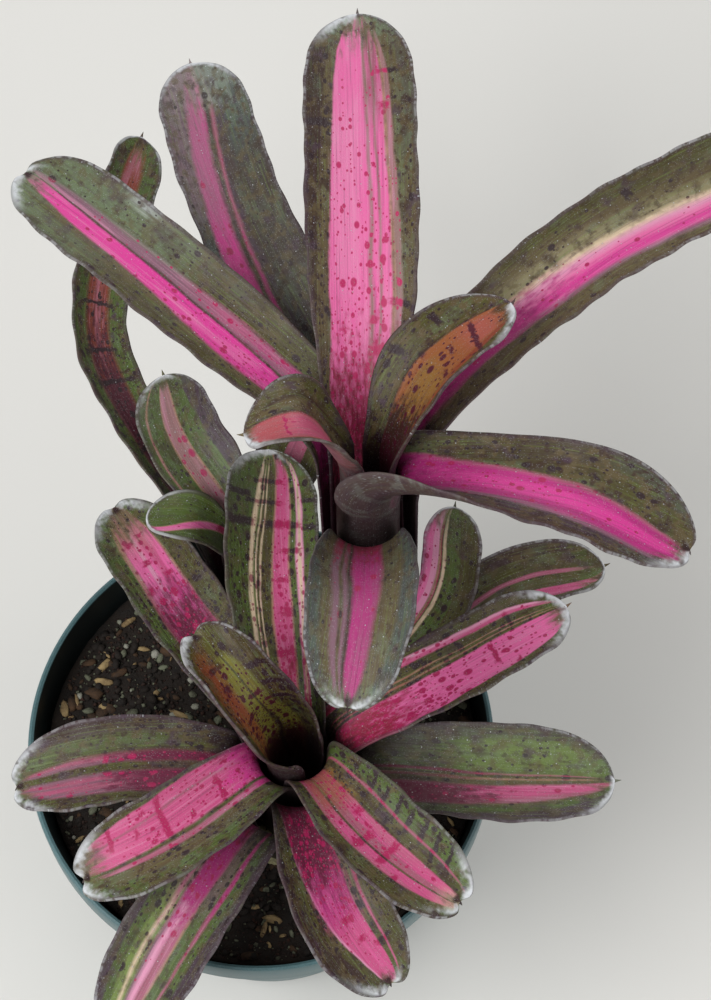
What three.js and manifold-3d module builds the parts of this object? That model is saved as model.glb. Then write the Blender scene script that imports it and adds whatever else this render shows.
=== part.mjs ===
// Neoregelia bromeliad in a round nursery pot: three tubular rosettes of strap leaves on short stems.
// Millimetres, +Z up. The origin is the centre of the pot's underside, and +Y points to the back of the plant.
import * as THREE from "three";
import { mergeVertices } from "three/addons/utils/BufferGeometryUtils.js";
import Module from "manifold-3d";

const wasm = await Module();
wasm.setup();

// Driving dimensions.
const POT = { height: 92, rimRadius: 57.5, footRadius: 40, wall: 1.6, floor: 2.2, bandHeight: 11, bandStep: 1.5 };
const DRAIN = { count: 6, radius: 4, ring: 29 };
const SOIL = { belowRim: 11, relief: 0.9, chips: 54, edgeGap: 0.4 };
const GAP = 0.3; // clearance between pieces that rest on each other
const LEAF = {
  sheathThickness: 0.65,
  midribThickness: 1.15,
  edgeThickness: 0.62,
  pitch: 1.08, // radial step from one sheath to the next one out
  baseHeight: 0.9, // where every sheath starts above the stem's plate
  tooth: 0.65, // marginal spines
  pointHalf: 0.45, // half the width of the blunt point
  acrossHalves: 3, // facets on each side of the midrib
};
const STEM = { coreRadius: 3.6, coreHeight: 13, plate: 2.4, root: 24, rootRadius: 3.2 };
const BLADE_STATIONS = [0.1, 0.25, 0.42, 0.6, 0.8, 1]; // shares of the straight-sided part of the blade
const TIP_STATIONS = [0.3, 0.56, 0.78, 0.93, 1]; // shares of the rounded tip
const TIP_LENGTH = 0.88; // of the blade's width
const THROAT = 0.22; // share of the way from the neck to mid that the blade still follows its sheath
const TOOTHED_FROM = 0.28; // share of the blade below which the margin is smooth

const SOIL_LEVEL = POT.height - SOIL.belowRim;

const LOOK = {
  leaf: { color: 0xb8487c, roughness: 0.5 },
  stem: { color: 0xb9b58a, roughness: 0.7 },
  soil: { color: 0x2f2820, roughness: 0.95 },
  pot: { color: 0x2c5652, roughness: 0.45 },
};

// Each leaf runs up its sheath to the neck, then through mid to tip. Azimuths are degrees from +X, reach is the
// distance from the rosette's axis and height is above its plate. The leaves are listed from the innermost out.
const leaf = (azimuth, neck, mid, tip, width, more = {}) => ({ azimuth, neck, mid, tip, width, ...more });

const ROSETTES = [
  {
    name: "front",
    at: [9, -13],
    lean: 2,
    leanTo: 90,
    flare: 0.07,
    leaves: [
      leaf(147, 40, [155, 12, 60], [140, 31, 68], 25, { cup: 8.5, wrap: 2.6, facets: 5 }),
      leaf(-48, 38, [-50, 34, 50], [-45, 56, 47], 23.5, { cup: 14 }),
      leaf(-140, 36, [-140, 38, 49], [-146, 60, 45], 23, { cup: 14 }),
      leaf(97, 33, [98.2, 43.2, 46.5], [95.3, 78.4, 40], 25.5, { cup: 15, roll: 14 }),
      leaf(25, 33, [26, 43, 47], [28, 73, 46], 20, { cup: 14 }),
      leaf(-76, 31, [-74, 40, 38], [-67, 60, 32], 25, { cup: 14 }),
      leaf(126, 27, [125.8, 45.3, 35], [124, 82.9, 28], 22, { cup: 15 }),
      leaf(46, 26, [47.3, 50.9, 37], [59.4, 76.1, 33.5], 14.5, { cup: 16 }),
      leaf(-177, 25, [-178, 42, 34], [-175, 68, 30], 24, { cup: 15 }),
      leaf(-6, 24, [-5, 49, 33], [-3, 76, 30], 26, { cup: 18 }),
      leaf(-125, 22, [-125, 47, 27], [-123, 77, 20], 24, { cup: 16 }),
      leaf(44, 21, [41.9, 69.1, 30], [34.7, 91.9, 28], 17, { cup: 16 }),
    ],
  },
  {
    name: "tall",
    at: [27.5, 20],
    lean: 22,
    leanTo: 94,
    flare: 0.02,
    leaves: [
      leaf(-165, 77, [-156, 16, 98], [-165, 28, 94], 24, { cup: 14, wrap: 1.4 }),
      leaf(28, 75, [35, 18.8, 95], [32.8, 41.1, 106], 27, { cup: 15, wrap: 1.2 }),
      leaf(-39, 65, [-14.7, 49.7, 77], [-15.2, 78.2, 67], 28, { cup: 20, roll: 35, wrap: 2.1 }),
      leaf(-90, 51, [-91, 41, 71], [-94, 61, 60], 27, { cup: 18 }),
      leaf(91, 67, [90, 48, 112], [90.5, 103, 129], 28.5, { cup: 22 }),
      leaf(127, 65, [141.6, 58.8, 101.5], [140.6, 106.7, 111], 24.5, { cup: 18 }),
      leaf(45, 62, [41, 69, 99], [36, 125, 108], 25, { cup: 14, roll: 25 }),
      leaf(106, 61, [116, 68, 101], [112, 115, 112], 24, { cup: 18 }),
    ],
  },
  {
    name: "back",
    at: [-1, 34],
    lean: 14,
    leanTo: 100,
    flare: 0.07,
    leaves: [
      leaf(172, 34, [175, 14, 45], [177.5, 24.5, 46], 15, { cup: 10 }),
      leaf(113, 31, [123.2, 29.4, 47], [117, 47.8, 49], 21, { cup: 15 }),
      leaf(68, 27, [68, 28, 38], [68, 45, 38], 18, { cup: 14 }),
      leaf(150, 19, [126.6, 65, 51.5], [104.8, 115.2, 62], 16, { cup: 10 }),
    ],
  },
];

const degrees = THREE.MathUtils.degToRad;
const mix = THREE.MathUtils.lerp;
const smooth = (x, low, high) => THREE.MathUtils.smoothstep(x, low, high);
const polar = ([azimuth, reach, height]) =>
  new THREE.Vector3(reach * Math.cos(degrees(azimuth)), reach * Math.sin(degrees(azimuth)), height);

// ---- Solids and meshes -------------------------------------------------------------------------------------

function solidOf(geometry) {
  const bare = new THREE.BufferGeometry().setAttribute("position", geometry.getAttribute("position"));
  if (geometry.index) bare.setIndex(geometry.index);
  const merged = mergeVertices(bare, 1e-4);
  return new wasm.Manifold(
    new wasm.Mesh({
      numProp: 3,
      vertProperties: merged.attributes.position.array,
      triVerts: new Uint32Array(merged.index.array),
    }),
  );
}

function geometryOf(solid) {
  const { numProp, vertProperties, triVerts } = solid.getMesh();
  const position = new Float32Array((vertProperties.length / numProp) * 3);
  for (let i = 0; i < position.length / 3; i++) {
    position.set(vertProperties.subarray(i * numProp, i * numProp + 3), i * 3);
  }
  return new THREE.BufferGeometry()
    .setAttribute("position", new THREE.BufferAttribute(position, 3))
    .setIndex(new THREE.BufferAttribute(triVerts, 1));
}

function namedMesh(name, geometry, look) {
  const mesh = new THREE.Mesh(geometry, new THREE.MeshStandardMaterial({ metalness: 0, ...look }));
  mesh.name = name;
  return mesh;
}

// A lathe about Z from [radius, height] pairs.
function turned(profile, segments) {
  const points = profile.map(([radius, height]) => new THREE.Vector2(radius, height));
  return new THREE.LatheGeometry(points, segments).rotateX(Math.PI / 2);
}

// ---- Leaves ------------------------------------------------------------------------------------------------

// Half the sheath's or blade's width at a share v of the blade (v < 0 is the sheath, -1 its base).
function halfWidth(spec, sheathRadius, v, roundFrom) {
  const full = spec.width / 2;
  const wrapped = spec.wrap ? spec.wrap * sheathRadius : Math.min(1.35 * sheathRadius, full);
  const neck = spec.wrap ? wrapped * 0.97 : Math.min(1.35 * sheathRadius, 0.7 * full);
  if (v <= 0) return mix(neck, wrapped, -v);
  const body = mix(neck, full, smooth(v, 0, 0.5));
  if (v <= roundFrom) return body;
  const x = (v - roundFrom) / (1 - roundFrom);
  return Math.max(LEAF.pointHalf, body * Math.sqrt(1 - x * x));
}

// The leaf's centre line with its frame: along (tangent), side and up (towards the inner face).
function leafStations(spec, rosette, order) {
  const inner = STEM.coreRadius + GAP + LEAF.sheathThickness / 2;
  const sheathRadius = (height) => inner + order * LEAF.pitch + rosette.flare * height;
  const outward = polar([spec.azimuth, 1, 0]);
  const side0 = new THREE.Vector3(-outward.y, outward.x, 0);
  const up = new THREE.Vector3(0, 0, 1);
  const stations = [];
  for (const v of [-1, -0.5, 0]) {
    const height = mix(LEAF.baseHeight, spec.neck, 1 + v);
    const radius = sheathRadius(height);
    const at = outward.clone().multiplyScalar(radius).setZ(height);
    stations.push({ v, at, along: up.clone(), side: side0.clone(), radius, half: halfWidth(spec, radius, v, 1) });
  }
  const neckPoint = stations[2].at;
  const neckRadius = stations[2].radius;
  const mid = polar(spec.mid);
  const tip = polar(spec.tip);
  const rise = up.clone().addScaledVector(outward, rosette.flare + 0.25).normalize();
  const throat = neckPoint.clone().addScaledVector(rise, THROAT * neckPoint.distanceTo(mid));
  const curve = new THREE.CatmullRomCurve3([neckPoint, throat, mid, tip]);
  const length = curve.getLength();
  const roundFrom = 1 - (TIP_LENGTH * spec.width) / length;
  const shares = [
    ...BLADE_STATIONS.map((share) => share * roundFrom),
    ...TIP_STATIONS.map((share) => mix(roundFrom, 1, share)),
  ];
  let side = side0;
  for (const v of shares) {
    const along = curve.getTangentAt(v);
    side = side.clone().addScaledVector(along, -side.dot(along)).normalize();
    const turnedSide = side.clone().applyAxisAngle(along, degrees(spec.roll ?? 0) * smooth(v, 0, 0.8));
    const radius = mix(neckRadius, spec.cup, smooth(v, 0, 0.5));
    const half = halfWidth(spec, neckRadius, v, roundFrom);
    stations.push({ v, at: curve.getPointAt(v), along, side: turnedSide, radius, half });
  }
  return stations;
}

// One closed leaf: rings of inner-face and outer-face points, joined along the stations.
function leafGeometry(spec, rosette, order) {
  const stations = leafStations(spec, rosette, order);
  const halves = spec.facets ?? LEAF.acrossHalves;
  const n = 2 * halves;
  const ring = 2 * n + 2;
  const position = [];
  const index = [];
  const quad = (a, b, c, d) => index.push(a, b, c, a, c, d);
  // Both faces are split along the same diagonals, so the blade keeps its thickness where it bends.
  const onInnerFace = (j) => j < n;
  for (const { v, at, along, side, radius, half } of stations) {
    const up = along.clone().cross(side);
    const face = (j, sign) => {
      const share = j / halves - 1;
      const angle = (share * half) / radius;
      const midrib = mix(LEAF.sheathThickness, LEAF.midribThickness, smooth(v, 0, 0.25));
      const thickness = mix(midrib, Math.min(midrib, LEAF.edgeThickness), share * share);
      const normal = up.clone().multiplyScalar(Math.cos(angle)).addScaledVector(side, -Math.sin(angle));
      return at
        .clone()
        .addScaledVector(side, radius * Math.sin(angle))
        .addScaledVector(up, radius * (1 - Math.cos(angle)))
        .addScaledVector(normal, (sign * thickness) / 2);
    };
    for (let j = 0; j <= n; j++) position.push(...face(j, 1).toArray());
    for (let j = n; j >= 0; j--) position.push(...face(j, -1).toArray());
  }
  const point = (i) => new THREE.Vector3().fromArray(position, 3 * i);
  for (let i = 0; i + 1 < stations.length; i++) {
    const here = i * ring;
    const next = here + ring;
    for (let j = 0; j < ring; j++) {
      const k = (j + 1) % ring;
      const onMargin = j === n || j === ring - 1;
      if (onMargin && stations[i].v >= TOOTHED_FROM && stations[i].v < 0.95) {
        const corners = [here + j, next + j, next + k, here + k];
        const apex = point(next + j).add(point(next + k)).multiplyScalar(0.5);
        apex.lerp(point(here + j), 0.12).addScaledVector(stations[i].side, (j === n ? 1 : -1) * LEAF.tooth);
        const tip = position.length / 3;
        position.push(...apex.toArray());
        corners.forEach((corner, c) => index.push(corner, corners[(c + 1) % 4], tip));
      } else if (onInnerFace(j)) {
        quad(here + j, next + j, next + k, here + k);
      } else {
        quad(next + j, next + k, here + k, here + j);
      }
    }
  }
  const lastRing = (stations.length - 1) * ring;
  for (let j = 0; j < n; j++) {
    const under = ring - 1 - j;
    quad(j, j + 1, under - 1, under);
    quad(lastRing + under, lastRing + under - 1, lastRing + j + 1, lastRing + j);
  }
  return new THREE.BufferGeometry()
    .setAttribute("position", new THREE.Float32BufferAttribute(position, 3))
    .setIndex(index);
}

// ---- Stems, soil and pot -----------------------------------------------------------------------------------

const outerSheathRadius = (rosette) => STEM.coreRadius + GAP + LEAF.pitch * rosette.leaves.length;

function stemProfile(rosette) {
  const plate = outerSheathRadius(rosette);
  const plateTop = LEAF.baseHeight - GAP;
  return [
    [0, -STEM.root],
    [STEM.rootRadius * 0.6, -STEM.root],
    [STEM.rootRadius, -STEM.plate * 2],
    [plate, plateTop - STEM.plate],
    [plate, plateTop],
    [STEM.coreRadius, plateTop + 0.02],
    [STEM.coreRadius * 0.9, STEM.coreHeight],
    [0, STEM.coreHeight + 2],
  ];
}

// The room that a stem and its sheaths take in the soil.
function wellProfile(rosette) {
  const room = outerSheathRadius(rosette) + SOIL.edgeGap + 0.5;
  const top = 22;
  return [
    [0, -STEM.root - SOIL.edgeGap],
    [STEM.rootRadius * 0.6 + SOIL.edgeGap, -STEM.root - SOIL.edgeGap],
    [STEM.rootRadius + SOIL.edgeGap, -STEM.plate * 2 - SOIL.edgeGap],
    [room, LEAF.baseHeight - GAP - STEM.plate - SOIL.edgeGap],
    [room + rosette.flare * top, top],
    [0, top],
  ];
}

function potGeometry() {
  const { height, rimRadius, footRadius, wall, floor, bandHeight, bandStep } = POT;
  const bandFoot = height - bandHeight;
  const below = rimRadius - bandStep;
  const profile = [
    [0, 0],
    [footRadius - 1.5, 0],
    [footRadius, 1.5],
    [below, bandFoot],
    [rimRadius - 0.4, bandFoot + 0.8],
    [rimRadius, height - 0.9],
    [rimRadius - 0.9, height],
    [rimRadius - wall, height - 0.5],
    [rimRadius - wall - 0.5, bandFoot],
    [below - wall - 0.3, bandFoot - 2],
    [footRadius - wall, floor],
    [0, floor],
  ];
  let solid = solidOf(turned(profile, 56));
  for (let i = 0; i < DRAIN.count; i++) {
    const angle = (2 * Math.PI * i) / DRAIN.count;
    const drill = new THREE.CylinderGeometry(DRAIN.radius, DRAIN.radius, 4 * floor, 12)
      .rotateX(Math.PI / 2)
      .translate(DRAIN.ring * Math.cos(angle), DRAIN.ring * Math.sin(angle), floor / 2);
    solid = solid.subtract(solidOf(drill));
  }
  return geometryOf(solid);
}

// Radius of the pot's inside at a height below its rim band.
function potInside(height) {
  const { floor, footRadius, wall, rimRadius, bandStep, bandHeight } = POT;
  const top = POT.height - bandHeight - 2;
  return mix(footRadius - wall, rimRadius - bandStep - wall - 0.3, (height - floor) / (top - floor));
}

const relief = (x, y) =>
  SOIL.relief * (Math.sin(0.31 * x + 1.3) * Math.cos(0.27 * y) + 0.6 * Math.sin(0.63 * y - 0.41 * x));

function seeded(seed) {
  let state = seed;
  return () => {
    state = (state * 16807) % 2147483647;
    return state / 2147483647;
  };
}

function soilGeometry(rosettes) {
  const random = seeded(41);
  const top = POT.height - POT.bandHeight - 2;
  const edge = potInside(top) - SOIL.edgeGap;
  const floor = POT.floor + GAP;
  const segments = 36;
  const rings = [0.25, 0.5, 0.75, 0.92];
  const position = [0, 0, SOIL_LEVEL + relief(0, 0)];
  const index = [];
  const addRing = (radius, heightAt) => {
    for (let i = 0; i < segments; i++) {
      const angle = (2 * Math.PI * i) / segments;
      const x = radius * Math.cos(angle);
      const y = radius * Math.sin(angle);
      position.push(x, y, heightAt(x, y));
    }
  };
  rings.forEach((share) => addRing(edge * share, (x, y) => SOIL_LEVEL + relief(x, y)));
  addRing(edge, () => SOIL_LEVEL - SOIL.relief);
  addRing(edge, () => top);
  addRing(potInside(floor) - SOIL.edgeGap, () => floor);
  position.push(0, 0, floor);
  const ringCount = rings.length + 3;
  const last = position.length / 3 - 1;
  for (let i = 0; i < segments; i++) {
    const k = (i + 1) % segments;
    index.push(0, 1 + i, 1 + k);
    for (let r = 0; r + 1 < ringCount; r++) {
      const a = 1 + r * segments;
      const b = a + segments;
      index.push(a + i, b + i, b + k, a + i, b + k, a + k);
    }
    const foot = 1 + (ringCount - 1) * segments;
    index.push(foot + k, foot + i, last);
  }
  const mass = new THREE.BufferGeometry()
    .setAttribute("position", new THREE.Float32BufferAttribute(position, 3))
    .setIndex(index);
  let solid = solidOf(mass);
  // Bark and pumice chips, half sunk, on a sunflower spiral so that they cover the surface evenly.
  for (let i = 0; i < SOIL.chips; i++) {
    const radius = (edge - 5) * Math.sqrt((i + 0.5) / SOIL.chips);
    const angle = i * degrees(137.508) + 0.3 * random();
    const size = mix(1.4, 3, random());
    const chip = new THREE.BoxGeometry(size * mix(1, 2.2, random()), size, size * 1.1)
      .rotateX(mix(-0.5, 0.5, random()))
      .rotateZ(Math.PI * random())
      .translate(radius * Math.cos(angle), radius * Math.sin(angle), 0);
    const x = radius * Math.cos(angle);
    const y = radius * Math.sin(angle);
    solid = solid.add(solidOf(chip.translate(0, 0, SOIL_LEVEL + relief(x, y) + 0.1 * size)));
  }
  for (const rosette of rosettes) {
    const { spec, group } = rosette;
    group.updateMatrixWorld(true);
    solid = solid.subtract(solidOf(turned(wellProfile(spec), 28).applyMatrix4(group.matrixWorld)));
  }
  const bodies = solid.decompose().sort((a, b) => b.volume() - a.volume());
  return geometryOf(bodies[0]);
}

// ---- Assembly ----------------------------------------------------------------------------------------------

function rosetteGroup(rosette) {
  const group = new THREE.Group();
  const [x, y] = rosette.at;
  group.position.set(x, y, SOIL_LEVEL);
  const axis = polar([rosette.leanTo + 90, 1, 0]);
  group.quaternion.setFromAxisAngle(axis, degrees(rosette.lean));
  const two = (i) => String(i).padStart(2, "0");
  group.add(namedMesh(`${rosette.name}_stem`, turned(stemProfile(rosette), 20), LOOK.stem));
  rosette.leaves.forEach((spec, order) => {
    const geometry = leafGeometry(spec, rosette, order);
    group.add(namedMesh(`${rosette.name}_leaf_${two(order + 1)}`, geometry, LOOK.leaf));
  });
  return group;
}

const plant = new THREE.Group();
const groups = ROSETTES.map((spec) => ({ spec, group: rosetteGroup(spec) }));
plant.add(namedMesh("pot", potGeometry(), LOOK.pot));
plant.add(namedMesh("potting_mix", soilGeometry(groups), LOOK.soil));
groups.forEach(({ group }) => plant.add(group));

export default plant;
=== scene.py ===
"""Neoregelia bromeliad in a nursery pot: the looks of its leaves, spines, stems, potting mix and pot."""

import logging
import math
from collections.abc import Sequence
from dataclasses import dataclass, field
from enum import Enum

import bpy
import numpy as np
from mathutils import Matrix, Vector, noise


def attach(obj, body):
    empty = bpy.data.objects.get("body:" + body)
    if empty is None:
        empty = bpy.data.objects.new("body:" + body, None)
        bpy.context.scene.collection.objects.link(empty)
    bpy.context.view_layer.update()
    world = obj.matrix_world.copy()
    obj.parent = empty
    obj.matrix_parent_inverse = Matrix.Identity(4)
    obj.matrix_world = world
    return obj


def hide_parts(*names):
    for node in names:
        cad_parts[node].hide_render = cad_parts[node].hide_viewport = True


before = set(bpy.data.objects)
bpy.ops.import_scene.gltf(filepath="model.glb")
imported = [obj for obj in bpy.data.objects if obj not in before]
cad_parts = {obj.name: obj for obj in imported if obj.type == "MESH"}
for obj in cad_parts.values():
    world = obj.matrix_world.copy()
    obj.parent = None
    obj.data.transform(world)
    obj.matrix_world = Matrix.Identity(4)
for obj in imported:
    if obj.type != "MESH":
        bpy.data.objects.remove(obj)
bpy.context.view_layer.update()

MM = 0.001
SOIL_LEVEL = 81.0  # mm above the pot's underside
LOG = logging.getLogger("bromeliad")

Points = np.ndarray


class Slot(Enum):
    """The record's material slots."""

    STRIPED_LEAF = "striped_leaf"
    SILVER_LEAF = "silver_leaf"
    STEM = "stem"
    POTTING_MIX = "potting_mix"
    POT_PLASTIC = "pot_plastic"


class Tone(Enum):
    """The plant's, the pot's and the studio's colours, as sRGB hex."""

    OLIVE = "#453f14"
    MOSS = "#46571c"
    LIME = "#6d7f3c"
    KHAKI = "#56472a"
    BROWN = "#341c12"
    GREY = "#434a46"
    ASH = "#5a4848"
    SAGE = "#65755a"
    PLUM = "#412a3a"
    TAN = "#a07860"
    CREAM = "#d6bfa0"
    BLUSH = "#d98fb0"
    PINK = "#dc5f9c"
    ROSE = "#c0487c"
    DUSTY = "#9c4f68"
    HOT = "#cf2f8c"
    MAGENTA = "#a81a70"
    CORAL = "#a84a52"
    ORANGE = "#8a4f28"
    TERRACOTTA = "#7d3520"
    YELLOW = "#77702c"
    BUFF = "#94686a"
    FAWN = "#857c5c"
    MAUVE = "#7d5566"
    CRIMSON = "#8c0838"
    GARNET = "#a2004e"
    RUBY = "#b00a56"
    BERRY = "#640434"
    WINE = "#470620"
    MAROON = "#260c18"
    SCURF = "#cdd0d4"
    SILVER = "#7e857c"
    STEM = "#b3ae84"
    PEAT = "#100d0a"
    EARTH = "#1f160f"
    BARK = "#4a3420"
    CHAFF = "#a08a60"
    LICHEN = "#6c705c"
    PERLITE = "#9c9a90"
    POT = "#2f4a4e"
    POT_WORN = "#58787c"
    FLOOR = "#d8d7d3"


WARM = {
    Tone.BLUSH, Tone.PINK, Tone.ROSE, Tone.DUSTY, Tone.HOT, Tone.MAGENTA, Tone.CORAL, Tone.ORANGE,
    Tone.TERRACOTTA, Tone.YELLOW, Tone.MAUVE, Tone.BUFF, Tone.CRIMSON,
}

PALE = {Tone.TAN, Tone.CREAM}


def linear(tone: Tone) -> tuple[float, float, float, float]:
    """A tone as the linear colour that the shaders take.

    Args:
        tone: a colour written as sRGB hex.

    Returns:
        Linear red, green, blue and an alpha of 1.
    """
    shares = [int(tone.value[i : i + 2], 16) / 255 for i in (1, 3, 5)]
    red, green, blue = (s / 12.92 if s <= 0.04045 else ((s + 0.055) / 1.055) ** 2.4 for s in shares)
    return red, green, blue, 1.0


class Step(Enum):
    """The shader nodes in use: Blender's type, the inputs that are fed in turn, and the settings."""

    SHADER = ("BsdfPrincipled", ("Base Color", "Roughness", "Normal", "IOR"))
    OUTPUT = ("OutputMaterial", ("Surface",))
    ATTRIBUTE = ("Attribute", ())
    PLACE = ("TexCoord", ())
    PARTS = ("SeparateXYZ", ("Vector",))
    CHANNELS = ("SeparateColor", ("Color",))
    NOISE = ("TexNoise", ("Vector", "Scale", "Detail"))
    CELLS = ("TexVoronoi", ("Vector", "Scale"), {"voronoi_dimensions": "2D"})
    RAMP = ("ValToRGB", ("Fac",))
    TINT = ("Mix", ("A", "B", "Factor"), {"data_type": "RGBA"})
    SPAN = ("MapRange", ("Value", "From Min", "From Max", "To Max"))
    RISE = ("MapRange", ("Value", "From Min", "From Max", "To Max"), {"interpolation_type": "SMOOTHSTEP"})
    BUMP = ("Bump", ("Height", "Strength", "Distance"))
    STRETCH = ("VectorMath", (0, 1), {"operation": "MULTIPLY"})
    ADD = ("Math", (0, 1), {"operation": "ADD"})
    SUBTRACT = ("Math", (0, 1), {"operation": "SUBTRACT"})
    MULTIPLY = ("Math", (0, 1), {"operation": "MULTIPLY"})
    MULTIPLY_ADD = ("Math", (0, 1, 2), {"operation": "MULTIPLY_ADD"})
    MAXIMUM = ("Math", (0, 1), {"operation": "MAXIMUM"})
    POWER = ("Math", (0, 1), {"operation": "POWER"})
    LESS_THAN = ("Math", (0, 1), {"operation": "LESS_THAN"})
    ABSOLUTE = ("Math", (0,), {"operation": "ABSOLUTE"})

    def __init__(self, kind: str, inputs: tuple[str | int, ...], settings: dict | None = None) -> None:
        """Keeps the node's type, the inputs that are fed and the settings."""
        self.kind, self.inputs, self.settings = f"ShaderNode{kind}", inputs, settings or {}


class NodeMaterial:
    """A node material in the making."""

    def __init__(self, name: str) -> None:
        """Starts an empty material.

        Args:
            name: the material's name.
        """
        self.material = bpy.data.materials.new(name)
        self.material.use_nodes = True
        self.tree = self.material.node_tree
        self.tree.nodes.clear()

    def add(
        self, step: Step, *values: object, stops: Sequence[tuple[float, tuple]] = (), **settings: object
    ) -> bpy.types.Node:
        """Adds a node with its settings, values and links.

        Args:
            step: which node.
            values: for each input in turn, a number, a tone, or the node or socket to link from.
            stops: a colour ramp's places and colours.
            settings: further properties of the node.

        Returns:
            The new node.
        """
        node = self.tree.nodes.new(step.kind)
        for name, value in {**step.settings, **settings}.items():
            setattr(node, name, value)
        for key, value in zip(step.inputs, values):
            named = (s for s in node.inputs if s.name == key and s.enabled)
            socket = node.inputs[key] if isinstance(key, int) else next(named)
            if isinstance(value, bpy.types.Node):
                value = next(s for s in value.outputs if s.enabled)
            if isinstance(value, bpy.types.NodeSocket):
                self.tree.links.new(value, socket)
            else:
                socket.default_value = linear(value) if isinstance(value, Tone) else value
        for i, (at, colour) in enumerate(stops):
            elements = node.color_ramp.elements
            element = elements[i] if i < 2 else elements.new(at)
            element.position, element.color = at, colour
        return node

    def close(self, *looks: object) -> bpy.types.Material:
        """The finished material, from its colour, roughness, relief and IOR in that order."""
        self.add(Step.OUTPUT, self.add(Step.SHADER, *looks))
        return self.material


# ---- Small mathematics -----------------------------------------------------------------------------------


def unit(vector: Points) -> Points:
    """The vectors at length 1."""
    return vector / np.linalg.norm(vector, axis=-1, keepdims=True)


def smoothstep(x: Points | float, low: float, high: float) -> Points:
    """0 below low, 1 above high and a smooth rise between them."""
    share = np.clip((np.asarray(x, float) - low) / (high - low), 0, 1)
    return share * share * (3 - 2 * share)


def mix(low: Points | float, high: Points | float, share: Points | float) -> Points | float:
    """The value at a share of the way from low to high."""
    return low + (high - low) * share


def polar(azimuth: float, reach: float, height: float) -> Points:
    """The point at an azimuth in degrees, a reach from the axis and a height."""
    angle = math.radians(azimuth)
    return np.array([reach * math.cos(angle), reach * math.sin(angle), height])


def sampled(points: Points, run: Points, distance: float) -> Points:
    """The point at a distance along a line whose points lie at the distances in run."""
    return np.array([np.interp(distance, run, points[:, k]) for k in range(3)])


def smooth_line(knots: Points, steps: int) -> Points:
    """A centripetal Catmull-Rom line through its knots, which leaves the last ones straight.

    Args:
        knots: the points that it passes.
        steps: how many steps each span takes.

    Returns:
        The line's points.
    """
    ghosts = np.vstack([2 * knots[0] - knots[1], knots, 2 * knots[-1] - knots[-2]])
    line = [knots[:1]]
    t = np.linspace(0, 1, steps + 1)[1:, None]
    for a, b, c, d in zip(ghosts, ghosts[1:], ghosts[2:], ghosts[3:]):
        before, here, after = (math.sqrt(np.linalg.norm(q - p)) for p, q in ((a, b), (b, c), (c, d)))
        leave = ((b - a) / before - (c - a) / (before + here) + (c - b) / here) * here
        arrive = ((c - b) / here - (d - b) / (here + after) + (d - c) / after) * here
        square, cube = 3 * (c - b) - 2 * leave - arrive, 2 * (b - c) + leave + arrive
        line.append(b + leave * t + square * t**2 + cube * t**3)
    return np.vstack(line)


def distances(line: Points) -> Points:
    """How far along a line each of its points lies."""
    return np.concatenate([[0], np.cumsum(np.linalg.norm(np.diff(line, axis=0), axis=1))])


def tube_faces(rows: int, ring: int, clockwise: bool = False) -> list[tuple[int, ...]]:
    """Faces that join rings of points into a tube and cap its ends.

    Args:
        rows: how many rings.
        ring: how many points each has.
        clockwise: whether the rings run clockwise, as seen from the last one.

    Returns:
        The corner numbers of each face.
    """
    faces = []
    for a in range(0, (rows - 1) * ring, ring):
        for j in range(ring):
            k = (j + 1) % ring
            faces.append((a + j, a + k, a + ring + k, a + ring + j))
    first, last = tuple(range(ring)), tuple(range((rows - 1) * ring, rows * ring))
    if clockwise:
        return [(a, d, c, b) for a, b, c, d in faces] + [first, last[::-1]]
    return [*faces, first[::-1], last]


def shifted(faces: list, by: int) -> list[tuple[int, ...]]:
    """Faces with their corners numbered that much higher."""
    return [tuple(corner + by for corner in face) for face in faces]


def turned(profile: Sequence[tuple[float, float]], segments: int) -> tuple[Points, list]:
    """A closed body turned about the vertical axis.

    Args:
        profile: radius and height pairs, from the bottom round to the top.
        segments: how many steps round.

    Returns:
        Points and faces.
    """
    angles = np.arange(segments) * 2 * math.pi / segments
    points = [(r * math.cos(a), r * math.sin(a), z) for r, z in profile for a in angles]
    return np.array(points), tube_faces(len(profile), segments)


def make_piece(
    name: str,
    vertices: Points,
    faces: list,
    material: bpy.types.Material,
    attributes: dict[str, Points] | None = None,
) -> bpy.types.Object:
    """A smooth-shaded mesh object from points in millimetres.

    Args:
        name: the object's name.
        vertices: one row a point, in millimetres.
        faces: the corner numbers of each face.
        material: the finish.
        attributes: named values, one or three for each point.

    Returns:
        The object, linked to the scene.
    """
    mesh = bpy.data.meshes.new(name)
    mesh.from_pydata((vertices * MM).tolist(), [], faces)
    for label, values in (attributes or {}).items():
        single = np.ndim(values) == 1
        made = mesh.attributes.new(label, "FLOAT" if single else "FLOAT_VECTOR", "POINT")
        made.data.foreach_set("value" if single else "vector", np.asarray(values, np.float32).ravel())
    mesh.shade_smooth()
    mesh.materials.append(material)
    piece = bpy.data.objects.new(name, mesh)
    bpy.context.scene.collection.objects.link(piece)
    return piece


def place(piece: bpy.types.Object, slot: Slot, *nodes: str) -> None:
    """Puts a finished piece in the part: attaches it to its body and hides the solids it stands for.

    Args:
        piece: the finished piece.
        slot: the record's material slot; not used.
        nodes: the solids that it replaces.
    """
    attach(piece, "root")
    if nodes:
        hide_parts(*nodes)
    LOG.info("%s: %d faces", piece.name, len(piece.data.polygons))


# ---- Leaf finishes ---------------------------------------------------------------------------------------


@dataclass(frozen=True)
class Bar:
    """A dark band or blotch across a blade."""

    along: float  # share of the blade, 0 at the neck
    low: float  # shares of the width, -1 to 1, where it starts and ends
    high: float
    thick: float = 0.8  # mm, half its width
    bow: float = 2.0  # mm that its ends lag behind its middle at the margins
    slant: float = 0.0  # mm that it moves towards the tip for each share of 1


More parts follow.
